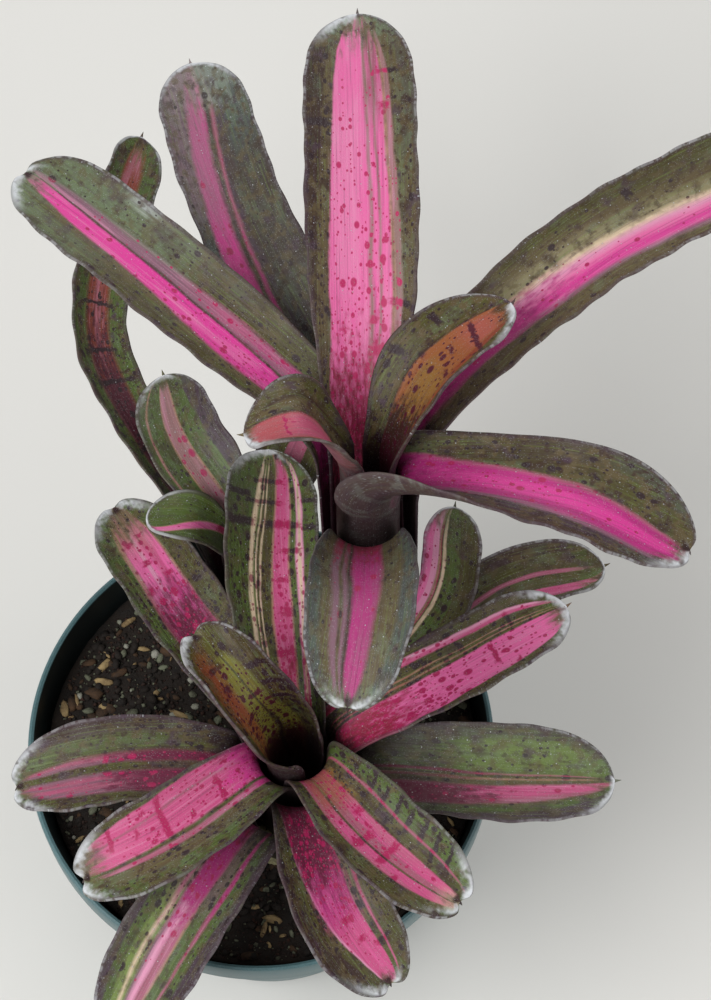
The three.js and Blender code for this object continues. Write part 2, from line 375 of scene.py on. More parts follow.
@dataclass(frozen=True)
class Wash:
    """A soft stretch of another tone, drawn out along the veins."""

    tone: Tone
    low: float  # shares of the width, -1 to 1
    high: float
    start: float  # shares of the blade, 0 at the neck
    end: float
    strength: float = 0.7


@dataclass(frozen=True)
class BladeFinish:
    """How one living leaf is coloured: a leathery, scurfy bromeliad blade, striped along its veins."""

    stripes: tuple[tuple[float, Tone], ...]  # a tone starts at each place at mid-blade, from the margin at -1
    tip: Tone = Tone.MOSS  # what the stripes fade to at the tip
    tip_from: float = 0.93  # share of the blade
    base: Tone = Tone.CRIMSON  # what the warm stripes deepen to towards the tank
    base_to: float = 0.3  # share of the blade where the deepening is complete
    drift: float = 0.0  # shares that the stripes move towards +1 from the neck to the tip
    gather: float = 0.3  # how much the stripes draw together over the blade
    spots: float = 0.5  # share of the places for spots that hold one
    mottle: float = 0.6  # brown blotches on the green margins
    streak: Tone = Tone.BLUSH  # fine lines along the veins of the warm stripes
    silver: float = 0.12  # grey scurf over the whole blade
    frost: tuple[float, float, float] = (-1.0, 1.0, 0.7)  # white tip: shares of the width, mm from the rim
    soft: float = 0.012  # share of the width over which one stripe turns to the next
    mark: Tone = Tone.GARNET  # the marks on the warm stripes
    washes: tuple[Wash, ...] = ()
    bars: tuple[Bar, ...] = ()


@dataclass(frozen=True)
class Layer:
    """A tone laid over a colour where a value rises."""

    tone: Tone
    value: object  # the node or socket that decides where it shows
    low: float  # the value where it starts to show
    high: float  # the value where it is full, above low or below it
    strength: float = 1.0
    where: object = None  # a further node that holds it back


class LeafMaterial(NodeMaterial):
    """Living bromeliad leaf: a waxy skin with pigment under it, raised veins and grey absorbent scales."""

    VEIN = 0.8  # mm between lengthwise veins
    VEIN_HEIGHT = 0.25  # mm
    SPOTS = ((4.2, 0.16, 0.55), (2.2, 0.2, 0.45), (1.0, 0.25, 0.35))  # mm apart, radius, share
    BLOTCHES = (  # tone, width in mm, and the noise above which one shows
        (Tone.KHAKI, 2.4, 0.48), (Tone.BROWN, 1.5, 0.53), (Tone.PLUM, 3.6, 0.56), (Tone.BROWN, 4.5, 0.55),
    )
    SCALE_CELL = 0.5  # mm between grey scales, drawn coarser than the real 0.1 mm so that they show
    GLINT_CELL = 2.4  # mm between the places for a painted glint
    GLINT_SHARE = 0.12  # share of them that hold one
    PLUM_EDGE = 1.1  # mm in from the rim
    WASH_ENDS = (0.1, 0.08)  # shares of the width and the blade over which a wash fades
    PIT = (3.8, 1.8)  # mm from a dented tip where its shade starts and is full
    WAX_IOR = 1.34  # plant wax, its gloss broken by scurf

    def __init__(self, name: str, finish: BladeFinish, length: float, notch: float) -> None:
        """Starts a material.

        Args:
            name: the material's name.
            finish: the leaf's colours.
            length: the blade's length in mm.
            notch: mm that its tip is dented.
        """
        super().__init__(name)
        self.finish, self.length, self.notch = finish, length, notch
        shares = self.add(Step.ATTRIBUTE, attribute_name="blade").outputs["Vector"]
        self.across, self.along, self.inner = self.add(Step.PARTS, shares).outputs
        self.mm = self.add(Step.ATTRIBUTE, attribute_name="blade_mm").outputs["Vector"]
        self.reach = self.add(Step.PARTS, self.mm).outputs[1]
        self.rim = self.add(Step.ATTRIBUTE, attribute_name="rim").outputs["Fac"]

    def scaled(self, across_mm: float, along_mm: float) -> bpy.types.Node:
        """Leaf coordinates in which one unit is that many millimetres across and along."""
        return self.add(Step.STRETCH, self.mm, (1 / across_mm, 1 / along_mm, 1.0))

    def rough(self, across_mm: float, along_mm: float, detail: float = 2.0) -> bpy.types.Node:
        """Noise with features of that size, from 0 to 1."""
        return self.add(Step.NOISE, self.scaled(across_mm, along_mm), 1.0, detail)

    def cells(self, across_mm: float, along_mm: float) -> tuple[bpy.types.NodeSocket, ...]:
        """Scattered cells of one size.

        Args:
            across_mm: their width.
            along_mm: their length along the veins.

        Returns:
            The distance to the nearest cell's middle, and two random numbers of that cell.
        """
        cell = self.add(Step.CELLS, self.scaled(across_mm, along_mm), 1.0)
        lots = self.add(Step.CHANNELS, cell.outputs["Color"]).outputs
        return cell.outputs["Distance"], lots[0], lots[1]

    def window(self, value: object, low: float, high: float, soft: float) -> bpy.types.Node:
        """1 between low and high, with ends as soft as that."""
        off = self.add(Step.ABSOLUTE, self.add(Step.SUBTRACT, value, (low + high) / 2))
        return self.add(Step.RISE, off, (high - low) / 2 + soft, (high - low) / 2 - soft)

    def laid(self, colour: bpy.types.Node, *layers: Layer) -> bpy.types.Node:
        """Lays layers over a colour.

        Args:
            colour: the colour beneath.
            layers: the lowest first.

        Returns:
            The colour on top.
        """
        for layer in layers:
            share = self.add(Step.RISE, layer.value, layer.low, layer.high, layer.strength)
            if layer.where:
                share = self.add(Step.MULTIPLY, share, layer.where)
            colour = self.add(Step.TINT, colour, layer.tone, share)
        return colour

    def stops(self, colours: list[tuple]) -> list[tuple[float, tuple]]:
        """Ramp stops for the stripes, each a flat run with soft edges.

        Args:
            colours: one colour for each stripe.

        Returns:
            Places from 0 to 1 with their colours.
        """
        starts = [(start + 1) / 2 for start, _ in self.finish.stripes]
        found = [(0.0, colours[0])]
        for i in range(1, len(starts)):
            room = min(starts[i] - starts[i - 1], starts[min(i + 1, len(starts) - 1)] - starts[i] or 1.0)
            soft = min(self.finish.soft, room * 0.48)
            found += [(starts[i] - soft, colours[i - 1]), (starts[i] + soft, colours[i])]
        return found

    def washed(self, colour: bpy.types.Node) -> bpy.types.Node:
        """Lays the finish's washes over a colour.

        Args:
            colour: the colour beneath.

        Returns:
            The washed colour.
        """
        if not self.finish.washes:
            return colour
        streaky = self.add(Step.MULTIPLY_ADD, self.rough(0.9, 12.0, 3.0), 0.3, -0.15)
        frayed = self.add(Step.ADD, self.across, streaky)
        side_fade, end_fade = self.WASH_ENDS
        for wash in self.finish.washes:
            wide = self.window(frayed, wash.low, wash.high, side_fade)
            far = self.window(self.along, wash.start, wash.end, end_fade)
            share = self.add(Step.MULTIPLY, self.add(Step.MULTIPLY, wide, far), wash.strength)
            colour = self.add(Step.TINT, colour, wash.tone, share)
        return colour

    def barred(self) -> bpy.types.Node | float:
        """Where the finish's bars lie, their ends and edges a little ragged.

        Returns:
            From 0 to 1, or a plain 0 where it has none.
        """
        total: bpy.types.Node | float = 0.0
        if not self.finish.bars:
            return total
        uneven = self.add(Step.MULTIPLY_ADD, self.rough(1.4, 1.4, 3.0), 2.0, -1.0)
        wavy = self.add(Step.ADD, self.reach, uneven)
        ragged = self.add(Step.MULTIPLY_ADD, self.rough(1.6, 1.0), 0.3, -0.15)
        for bar in self.finish.bars:
            centre, half = (bar.low + bar.high) / 2, (bar.high - bar.low) / 2
            off = self.add(Step.ADD, self.add(Step.SUBTRACT, self.across, centre), ragged)
            sag = self.add(Step.MULTIPLY_ADD, self.add(Step.POWER, self.across, 2.0), bar.bow, wavy)
            sag = self.add(Step.MULTIPLY_ADD, self.across, -bar.slant, sag)
            gap = self.add(Step.ABSOLUTE, self.add(Step.SUBTRACT, sag, bar.along * self.length))
            thin = self.add(Step.RISE, gap, bar.thick * 1.2, bar.thick * 0.5, 0.97)
            wide = self.add(Step.RISE, self.add(Step.ABSOLUTE, off), half + 0.05, half - 0.08)
            total = self.add(Step.MAXIMUM, total, self.add(Step.MULTIPLY, thin, wide))
        return total

    def marks(self) -> bpy.types.Node:
        """Where dark pigment gathers: the bars, the spots and the specks.

        Returns:
            From 0 to 1.
        """
        total = self.barred()
        dense = self.add(Step.RISE, self.along, 0.95, 0.1)
        patchy = self.add(Step.MULTIPLY_ADD, self.rough(5.0, 9.0), 1.8, -0.2)
        chance = self.add(Step.MULTIPLY, self.add(Step.MULTIPLY_ADD, dense, 1.6, 0.3), patchy)
        for cell, radius, share in self.SPOTS:
            distance, lot, size = self.cells(cell * 0.85, cell * 1.2)
            likely = self.add(Step.MULTIPLY, chance, self.finish.spots * share)
            there = self.add(Step.LESS_THAN, lot, likely)
            edge = self.add(Step.MULTIPLY_ADD, size, radius, 0.14)
            inside = self.add(Step.RISE, distance, edge, self.add(Step.MULTIPLY, edge, 0.6), 0.96)
            total = self.add(Step.MAXIMUM, total, self.add(Step.MULTIPLY, there, inside))
        return total

    def striped(self) -> tuple[bpy.types.Node, bpy.types.Node]:
        """The stripes, which drift and draw together from the neck to the tip.

        Returns:
            Their colour, and where it is warm, from 0 to 1.
        """
        finish = self.finish
        middle = self.add(Step.SUBTRACT, self.along, 0.5)
        moved = self.add(Step.MULTIPLY_ADD, middle, -finish.drift, self.across)
        drawn = self.add(Step.MULTIPLY, moved, self.add(Step.MULTIPLY_ADD, middle, finish.gather, 1.0))
        wobble = self.add(Step.MULTIPLY_ADD, self.rough(7.0, 24.0), 0.09, 0.5 - 0.045)
        fine = self.add(Step.MULTIPLY_ADD, self.rough(0.8, 5.0), 0.016, wobble)
        at = self.add(Step.MULTIPLY_ADD, drawn, 0.5, fine)
        tones = [tone for _, tone in finish.stripes]
        colour = self.add(Step.RAMP, at, stops=self.stops([linear(tone) for tone in tones]))
        shares = [1.0 if tone in WARM else 0.65 if tone in PALE else 0.0 for tone in tones]
        flags = [(share, share, share, 1.0) for share in shares]
        return colour, self.add(Step.RAMP, at, stops=self.stops(flags))

    def inner_face(self) -> bpy.types.Node:
        """The face towards the tank.

        Returns:
            Its colour, without scurf.
        """
        finish = self.finish
        colour, warm = self.striped()
        soft = self.add(Step.MULTIPLY_ADD, self.rough(1.2, 7.0, 3.0), 0.22, self.along)
        fade = self.add(Step.RISE, soft, finish.tip_from + 0.06, min(1.11, finish.tip_from + 0.18))
        colour = self.add(Step.TINT, colour, finish.tip, self.add(Step.MULTIPLY, fade, 0.85))
        warm = self.add(Step.MULTIPLY, warm, self.add(Step.SUBTRACT, 1.0, fade))
        cool = self.add(Step.SUBTRACT, 1.0, warm)
        streaks = self.rough(self.VEIN * 0.5, 30.0)
        blotches = (
            Layer(tone, self.rough(size, size * 1.3, 4.0), low, low + 0.15, finish.mottle, cool)
            for tone, size, low in self.BLOTCHES
        )
        grain = self.add(Step.MULTIPLY_ADD, self.rough(1.0, 3.0, 4.0), 0.5, self.along)
        colour = self.laid(
            self.washed(colour),
            # Fine streaks follow the veins.
            Layer(finish.streak, streaks, 0.54, 0.7, 0.3, warm),
            Layer(Tone.LIME, streaks, 0.52, 0.7, 0.36, cool),
            Layer(Tone.PLUM, streaks, 0.45, 0.3, 0.3),
            Layer(finish.streak, self.rough(2.2, 22.0), 0.5, 0.66, 0.28, warm),
            # Lighter stretches, then brown and plum blotches, mark the green margins.
            Layer(Tone.SAGE, self.rough(3.5, 11.0, 3.0), 0.52, 0.68, 0.3, cool),
            *blotches,
            # The centre deepens towards the tank, through a stippled edge.
            Layer(finish.base, grain, finish.base_to + 0.47, finish.base_to + 0.23, 1.0, warm),
        )
        marks = self.marks()
        colour = self.add(Step.TINT, colour, finish.mark, self.add(Step.MULTIPLY, marks, warm))
        colour = self.add(Step.TINT, colour, Tone.MAROON, self.add(Step.MULTIPLY, marks, cool))
        # Painted shade: it is darkest inside the tank.
        throat = self.add(Step.RISE, grain, finish.base_to * 0.3 + 0.39, finish.base_to * 0.3 + 0.15)
        tank_shade = self.add(Step.TINT, Tone.MAROON, Tone.WINE, warm)
        return self.add(Step.TINT, colour, tank_shade, self.add(Step.MULTIPLY, throat, 0.9))

    def outer_face(self, colour: bpy.types.Node) -> bpy.types.Node:
        """The face away from the tank: greyer, with scurf in broken bands across it.

        Args:
            colour: the inner face's.

        Returns:
            Its colour, darkest where its sheath is.
        """
        return self.laid(
            self.add(Step.TINT, colour, Tone.ASH, 0.6),
            Layer(Tone.SILVER, self.rough(7.0, 1.6, 3.0), 0.5, 0.64, 0.35),
            Layer(Tone.PLUM, self.rough(4.0, 6.0, 3.0), 0.5, 0.62, 0.45),
            # Painted shade, darkest where the sheath lies in the tube.
            Layer(Tone.MAROON, self.along, 0.22, -0.02, 0.66),
        )

    def scales_and_glints(self) -> bpy.types.Node:
        """Where single grey scale dots lie, in rows along the veins, with a painted glint here and there.

        Returns:
            From 0 to 1, and above 1 at a painted glint.
        """
        distance, lot, _ = self.cells(self.SCALE_CELL * 0.8, self.SCALE_CELL * 1.1)
        there = self.add(Step.RISE, lot, 0.6, 0.0)
        rows = self.add(Step.RISE, self.rough(self.VEIN * 0.6, 9.0), 0.35, 0.62)
        dot = self.add(Step.MULTIPLY, there, self.add(Step.RISE, distance, 0.42, 0.12))
        dot = self.add(Step.MULTIPLY, dot, self.add(Step.MULTIPLY_ADD, rows, 0.7, 0.3))
        # Painted glints: a lone bright dot in a few of the larger cells.
        distance, lot, _ = self.cells(self.GLINT_CELL, self.GLINT_CELL)
        lone = self.add(Step.LESS_THAN, lot, self.GLINT_SHARE)
        glint = self.add(Step.MULTIPLY, lone, self.add(Step.RISE, distance, 0.085, 0.04, 3.0))
        return self.add(Step.MAXIMUM, dot, glint)

    def coat(self) -> bpy.types.Node:
        """Where the white scurf coats the tip and the margin.

        Returns:
            From 0 to 1.
        """
        low, high, far = self.finish.frost
        patchy = self.rough(1.3, 1.3, 3.0)
        ragged = self.add(Step.MULTIPLY_ADD, patchy, -far * 0.8, self.add(Step.ADD, self.rim, far * 0.4))
        end = self.add(Step.RISE, ragged, far * 0.85, 0.0, 1.0)
        end = self.add(Step.MULTIPLY, end, self.add(Step.RISE, self.rough(2.6, 2.6, 1.0), 0.25, 0.5))
        end = self.add(Step.MULTIPLY, end, self.window(self.across, low, high, 0.15))
        end = self.add(Step.MULTIPLY, end, self.add(Step.RISE, self.reach, self.length - 12, self.length - 4))
        thin = self.add(Step.RISE, self.rim, 0.45, 0.1)
        margin = self.add(Step.MULTIPLY, thin, self.add(Step.RISE, patchy, 0.4, 0.6))
        margin = self.add(Step.MULTIPLY, margin, self.add(Step.RISE, self.along, 0.5, 0.9, 0.35))
        return self.add(Step.MAXIMUM, end, margin)

    def build(self) -> bpy.types.Material:
        """Joins both faces, the scurf, the gloss and the veins.

        Returns:
            The finished material.
        """
        colour = self.laid(self.inner_face(), Layer(Tone.PLUM, self.rim, self.PLUM_EDGE, 0.3, 0.5))
        colour = self.add(Step.TINT, self.outer_face(colour), colour, self.inner)
        dot, coat = self.scales_and_glints(), self.coat()
        veil = self.add(Step.MULTIPLY, self.rough(1.0, 1.6, 3.0), self.finish.silver)
        # The dots are grey scales and painted glints, laid in the scurf's white.
        dots = self.add(Step.MULTIPLY, dot, 0.14 + 0.3 * self.finish.silver)
        for tone, share in ((Tone.SILVER, veil), (Tone.SCURF, coat), (Tone.SCURF, dots)):
            colour = self.add(Step.TINT, colour, tone, share)
        # Painted shade: dark where the tip turns under and where the sheath closes round the tube.
        if self.notch:
            middle = self.add(Step.ABSOLUTE, self.across)
            start, full = self.PIT
            near = self.add(Step.RISE, self.reach, self.length - start, self.length - full, 0.85)
            colour = self.laid(colour, Layer(Tone.MAROON, middle, 0.3, 0.1, 1.0, near))
        colour = self.laid(colour, Layer(Tone.PEAT, self.reach, 4.0, -6.0, 0.4))
        gloss = self.add(Step.MULTIPLY_ADD, coat, 0.3, 0.38)
        gloss = self.add(Step.MULTIPLY_ADD, self.rough(2.0, 8.0), 0.2, gloss)
        veins = self.rough(self.VEIN, 40.0, 1.0)
        height = self.add(Step.MULTIPLY_ADD, self.rough(0.5, 0.7, 2.0), 0.5, veins)
        height = self.add(Step.MULTIPLY_ADD, dot, 0.5, height)
        relief = self.add(Step.BUMP, height, 0.6, self.VEIN_HEIGHT * MM)
        return self.close(colour, gloss, relief, self.WAX_IOR)


# ---- Leaves ----------------------------------------------------------------------------------------------


@dataclass(frozen=True)
class Leaf:
    """One leaf's line, in millimetres from its rosette's axis and above its plate, and its finish."""

    azimuth: float  # degrees from +X
    neck: float  # height where it leaves the tube
    mid: tuple[float, float, float]  # azimuth, reach, height
    tip: tuple[float, float, float]
    width: float
    finish: BladeFinish
    cup: float = 14.0  # radius of the channel
    roll: float = 0.0  # degrees that the left margin rises over the blade
    wrap: float = 0.0  # half the sheath's width over its radius, where it closes round the tube
    notch: float = 0.0  # mm that the tip is dented where its point curls under
    slot: Slot = Slot.STRIPED_LEAF


@dataclass
class LeafShape:
    """A leaf's fine surface, on the same line and width as its solid."""

    sheath_thickness: float = 0.65
    midrib_thickness: float = 1.15
    edge_thickness: float = 0.62
    core_radius: float = 3.6
    gap: float = 0.3
    pitch: float = 1.08
    base_height: float = 0.9
    throat: float = 0.22  # share of the way to mid where the blade still follows its sheath
    tip_length: float = 0.88  # of the width
    columns: int = 32
    row_mm: float = 1.0
    tip_rows: int = 26
    sheath_rows: int = 9
    neck_wrap: float = 1.35  # half the width of a neck over its sheath's radius, at most
    neck_share: float = 0.7  # width of a neck over its blade's, at most
    end: float = 0.45  # mm, half the width where the blade ends
    bulge: float = 0.28  # mm that a margin stands out between the two faces
    wave: float = 0.22  # mm that the margin waves
    waves: tuple[float, float] = (0.62, 0.27)  # radians a mm, a short wave and a long one
    mucro: float = 1.5  # mm, the point at the tip
    mucro_radius: float = 0.62
    mucro_shape: tuple[int, int] = (5, 8)  # its rings and sides
    dent_length: float = 5.0  # mm of blade that a tip's dent reaches back
    dent_width: float = 1.9  # mm, half of it
    dent_rim: float = 2.5  # mm that a dent's middle counts as inside the outline
    point_rim: float = 3.0  # mm that the point at the tip does, which keeps it free of white scurf
    apart: tuple[float, float] = (90.0, 7.3)  # mm between two leaves' places in the patterns
    steps: int = 90  # along each span of the centre line

    def sheath_radius(self, order: int, flare: float, height: float) -> float:
        """The middle radius of a sheath at a height above its plate."""
        return self.core_radius + self.gap + self.sheath_thickness / 2 + order * self.pitch + flare * height

    def half_width(self, leaf: Leaf, radius: float, v: float, round_from: float) -> float:
        """Half the leaf's width.

        Args:
            leaf: the leaf.
            radius: the sheath's radius at the neck.
            v: share of the blade, or of the sheath where it is below 0.
            round_from: the share where the tip starts.

        Returns:
            Half the width, in mm.
        """
        full = leaf.width / 2
        wrapped = leaf.wrap * radius if leaf.wrap else min(self.neck_wrap * radius, full)
        neck = wrapped * 0.97 if leaf.wrap else min(wrapped, self.neck_share * full)
        if v <= 0:
            return float(mix(neck, wrapped, -v))
        body = float(mix(neck, full, smoothstep(v, 0, 0.5)))
        if v <= round_from:
            return body
        x = (v - round_from) / (1 - round_from)
        return max(self.end, body * math.sqrt(max(0.0, 1 - x * x)))

    def stations(self, leaf: Leaf, flare: float, order: int) -> dict[str, Points]:
        """The centre line with its frame, from the sheath's base to the tip.

        Args:
            leaf: the leaf.
            flare: how fast the rosette's tube widens.
            order: the leaf's place, 0 for the innermost.

        Returns:
            Arrays named v, at, along, side, radius, half, reach (mm from the neck) and dent (mm that the
            midrib is drawn back), one row a station.
        """
        outward = polar(leaf.azimuth, 1, 0)
        side = np.array([-outward[1], outward[0], 0.0])
        up = np.array([0.0, 0.0, 1.0])
        rows = []
        for v in np.linspace(-1, 0, self.sheath_rows)[:-1]:
            height = mix(self.base_height, leaf.neck, 1 + v)
            radius = self.sheath_radius(order, flare, height)
            half = self.half_width(leaf, radius, v, 1)
            rows.append((v, outward * radius + up * height, up, side, radius, half, v * leaf.neck, 0.0))
        neck_radius = self.sheath_radius(order, flare, leaf.neck)
        start = outward * neck_radius + up * leaf.neck
        mid, tip = polar(*leaf.mid), polar(*leaf.tip)
        rise = unit(up + outward * (flare + 0.25))
        throat = start + rise * self.throat * np.linalg.norm(start - mid)
        line = smooth_line(np.array([start, throat, mid, tip]), self.steps)
        run = distances(line)
        length = run[-1]
        slopes = np.gradient(line, run, axis=0)
        round_from = 1 - self.tip_length * leaf.width / length
        straight = np.linspace(0, round_from, max(8, round(round_from * length / self.row_mm)))
        curled = round_from + (1 - round_from) * np.sin(np.linspace(0, math.pi / 2, self.tip_rows))[1:]
        for v in [*straight, *curled]:
            at = sampled(line, run, v * length)
            along = unit(sampled(slopes, run, v * length))
            side = unit(side - side.dot(along) * along)
            turn = Matrix.Rotation(math.radians(leaf.roll) * smoothstep(v, 0, 0.8), 3, Vector(along))
            radius = mix(neck_radius, leaf.cup, smoothstep(v, 0, 0.5))
            half = self.half_width(leaf, neck_radius, v, round_from)
            dent = leaf.notch * smoothstep(v * length, length - self.dent_length, length)
            rows.append((v, at, along, np.array(turn @ Vector(side)), radius, half, v * length, dent))
        names = ("v", "at", "along", "side", "radius", "half", "reach", "dent")
        return {name: np.array(values) for name, values in zip(names, zip(*rows))}

    def surface(self, line: dict[str, Points], shares: Points, sign: float) -> tuple[Points, Points]:
        """Points on one face of the leaf.

        Args:
            line: what stations() gives.
            shares: places across, -1 to 1.
            sign: 1 for the inner face, -1 for the outer one.

        Returns:
            The points and the normals towards the inner side, as rows by shares by 3.
        """
        v, radius, half = (line[k][:, None] for k in ("v", "radius", "half"))
        side, up = line["side"][:, None], np.cross(line["along"], line["side"])[:, None]
        angle = shares * half / radius
        sine, cosine = np.sin(angle)[..., None], np.cos(angle)[..., None]
        normal = up * cosine - side * sine
        midrib = mix(self.sheath_thickness, self.midrib_thickness, smoothstep(v, 0, 0.25))
        thickness = mix(midrib, np.minimum(midrib, self.edge_thickness), shares * shares)
        reach = line["reach"][:, None]
        margin = smoothstep(v, 0.1, 0.4) * np.abs(shares) ** 5
        short, long = self.waves
        wave = np.sin(reach * short + 1.7 * np.sign(shares)) + np.sin(reach * long)
        lift = (sign * thickness / 2 + self.wave * margin * wave)[..., None]
        back = line["dent"][:, None] * np.exp(-((shares * half / self.dent_width) ** 2))
        points = line["at"][:, None] + side * radius[..., None] * sine
        points = points - (line["along"][:, None] + 0.4 * up) * back[..., None]
        return points + up * radius[..., None] * (1 - cosine) + normal * lift, normal

    def build(self, line: dict[str, Points], seed: int) -> tuple[Points, list, dict[str, Points]]:
        """The closed skin of the leaf with its pointed tip.

        Args:
            line: what stations() gives.
            seed: a number that sets the leaf's pattern apart.

        Returns:
            Points, faces and the attributes that the finish reads.
        """
        shares = np.linspace(-1, 1, self.columns + 1)
        inner, _ = self.surface(line, shares, 1)
        outer, _ = self.surface(line, shares, -1)
        ends = (inner + outer) / 2
        left = ends[:, -1:] + unit(ends[:, -1:] - ends[:, -2:-1]) * self.bulge
        right = ends[:, :1] + unit(ends[:, :1] - ends[:, 1:2]) * self.bulge
        rings = np.concatenate([inner, left, outer[:, ::-1], right], axis=1)
        rows, ring = rings.shape[:2]
        across = np.concatenate([shares, [1.0], shares[::-1], [-1.0]])
        facing = np.concatenate([np.ones(len(shares)), [0.5], np.zeros(len(shares)), [0.5]])
        v = np.repeat(line["v"][:, None], ring, axis=1)
        blade = np.stack([across + 0 * v, v, facing + 0 * v], axis=-1)
        reach = line["reach"][:, None] + 0 * v
        aside, deep = self.apart
        sideways = across * line["half"][:, None] + aside * seed
        flat = np.stack([sideways, reach, np.full_like(v, deep * seed)], axis=-1)
        points = rings.reshape(-1, 3)
        blade, flat = blade.reshape(-1, 3), flat.reshape(-1, 3)
        spike, spike_faces = self.tip_point(line)
        faces = tube_faces(rows, ring, clockwise=True) + shifted(spike_faces, len(points))
        extra = np.tile([0.0, 1.0, 1.0], (len(spike), 1))
        more = np.tile([aside * seed, line["reach"][-1], deep * seed], (len(spike), 1))
        far = self.to_outline(line, across).reshape(-1)
        rim = np.concatenate([far, np.full(len(spike), self.point_rim)])
        attributes = {"blade": np.vstack([blade, extra]), "blade_mm": np.vstack([flat, more]), "rim": rim}
        return np.vstack([points, spike]), faces, attributes

    def to_outline(self, line: dict[str, Points], across: Points) -> Points:
        """How far the skin's points lie inside the blade's outline.

        Args:
            line: what stations() gives.
            across: places across, -1 to 1.

        Returns:
            Distances in mm, one row a station.
        """
        v, half, reach = (line[k][:, None] for k in ("v", "half", "reach"))
        sideways = (1 - np.abs(across)) * half
        full = np.max(line["half"])
        tip = 2 * self.tip_length * full
        end = reach[-1] - tip * (1 - np.sqrt(np.clip(1 - (across * half / full) ** 2, 0, 1)))
        ahead = np.maximum(end - reach, 0)
        dented = self.dent_rim * np.minimum(line["dent"][:, None], 1) * np.exp(-((across * half) ** 2))
        return sideways * ahead / np.sqrt(sideways**2 + ahead**2 + 1e-6) + dented

    def tip_point(self, line: dict[str, Points]) -> tuple[Points, list]:
        """The short curved point that ends the midrib, turned under where the tip is dented.

        Args:
            line: what stations() gives.

        Returns:
            Points and faces.
        """
        rings, sides = self.mucro_shape
        at, along, side, dent = (line[k][-1] for k in ("at", "along", "side", "dent"))
        up = np.cross(along, side)
        curl = -0.9 if dent else 0.5
        at = at - (along + 0.4 * up) * dent
        points = []
        for t in np.arange(rings) / (rings - 1):
            forward = along * (1.4 * t - 0.4) * (0.6 if dent else 1.0)
            centre = at + (forward + up * curl * t * t) * self.mucro
            radius = self.mucro_radius * (1 - 0.92 * t)
            for angle in np.arange(sides) * 2 * math.pi / sides:
                points.append(centre + (side * math.cos(angle) + up * math.sin(angle)) * radius)
        return np.array(points), tube_faces(rings, sides)


@dataclass
class Fringe:
    """The pale spines on the margins and the scurfy hairs near them, as one mesh for each rosette."""

    start: float = 0.18  # share of the blade where the spines start
    spacing: float = 1.4  # mm between spines
    length: float = 0.8
    root: float = 0.12  # mm, its radius
    hairs: float = 6.0  # for each mm of blade
    hairs_from: float = 0.15  # share of the blade
    hairs_to: float = 0.995
    tip_from: float = 0.86  # share of the blade from which hairs stand all over it
    margin: float = 0.16  # share of the half width in which most others stand
    hair_length: float = 0.35
    hair_root: float = 0.03
    points: list = field(default_factory=list)
    faces: list = field(default_factory=list)

    def prick(self, at: Points, way: Points, side: Points, length: float, root: float) -> None:
        """Adds one slim three-sided spike.

        Args:
            at: its root, a little below the skin.
            way: its direction.
            side: a direction across it.
            length: its length.
            root: the radius of its root.
        """
        other = np.cross(way, side)
        first = len(self.points)
        for turn in (0, 2 * math.pi / 3, 4 * math.pi / 3):
            self.points.append(at + (side * math.cos(turn) + other * math.sin(turn)) * root)
        self.points.append(at + way * length)
        self.faces += [(first, first + 2, first + 1)]
        self.faces += [(first + i, first + (i + 1) % 3, first + 3) for i in range(3)]

    def dress(self, shape: LeafShape, line: dict[str, Points], rng: np.random.Generator) -> None:
        """Grows the fringe of one leaf.

        Args:
            shape: the leaf's maker.
            line: what shape.stations() gives.
            rng: the seeded source of chance.
        """
        shares = np.array([-1.0, 1.0])
        inner, normals = shape.surface(line, shares, 1)
        outer, _ = shape.surface(line, shares, -1)
        middle = (inner + outer) / 2
        reach, v = line["reach"], line["v"]
        start = np.interp(self.start, v, reach)
        for edge, sign in enumerate(shares):
            run = distances(middle[:, edge])
            d = float(np.interp(start, reach, run))
            while d < run[-1] - 0.3:
                at = sampled(middle[:, edge], run, d)
                along = unit(sampled(middle[:, edge], run, d + 0.4) - sampled(middle[:, edge], run, d - 0.4))
                normal = unit(sampled(normals[:, edge], run, d))
                out = unit(np.cross(normal, along)) * -sign
                way = unit(out + along * rng.uniform(0.35, 0.9) + normal * rng.uniform(-0.15, 0.35))
                length = self.length * rng.uniform(0.6, 1.25)
                self.prick(at + out * 0.1, way, normal, length, self.root)
                d += self.spacing * rng.uniform(0.6, 1.4)
        self.scatter(shape, line, rng)

    def scatter(self, shape: LeafShape, line: dict[str, Points], rng: np.random.Generator) -> None:
        """Lays short hairs near the margins and the tip, on both faces.

        Args:
            shape: the leaf's maker.
            line: what shape.stations() gives.
            rng: the seeded source of chance.
        """
        v = line["v"]
        count = int(self.hairs * line["reach"][-1])
        for _ in range(count):
            at_v = rng.uniform(self.hairs_from if rng.random() < 0.6 else 0.8, self.hairs_to)
            share = rng.choice([-1, 1]) * (1 - abs(rng.normal(0, self.margin)))
            share = float(np.clip(share, -0.99, 0.99))
            if at_v > self.tip_from:
                share = rng.uniform(-0.98, 0.98)
            i = int(np.clip(np.searchsorted(v, at_v), 1, len(v) - 1))
            one = {k: values[i - 1 : i + 1] for k, values in line.items()}
            sign = 1 if rng.random() < 0.75 else -1
            pair, normals = shape.surface(one, np.array([share]), sign)
            t = (at_v - v[i - 1]) / max(1e-9, v[i] - v[i - 1])
            at = mix(pair[0, 0], pair[1, 0], t)
            normal, along, side = normals[0, 0] * sign, one["along"][0], one["side"][0]
            way = unit(along + normal * rng.uniform(0.15, 0.6) + side * rng.normal(0, 0.6))
            length = self.hair_length * rng.uniform(0.5, 1.3)
            self.prick(at - normal * 0.03, way, unit(np.cross(way, normal)), length, self.hair_root)


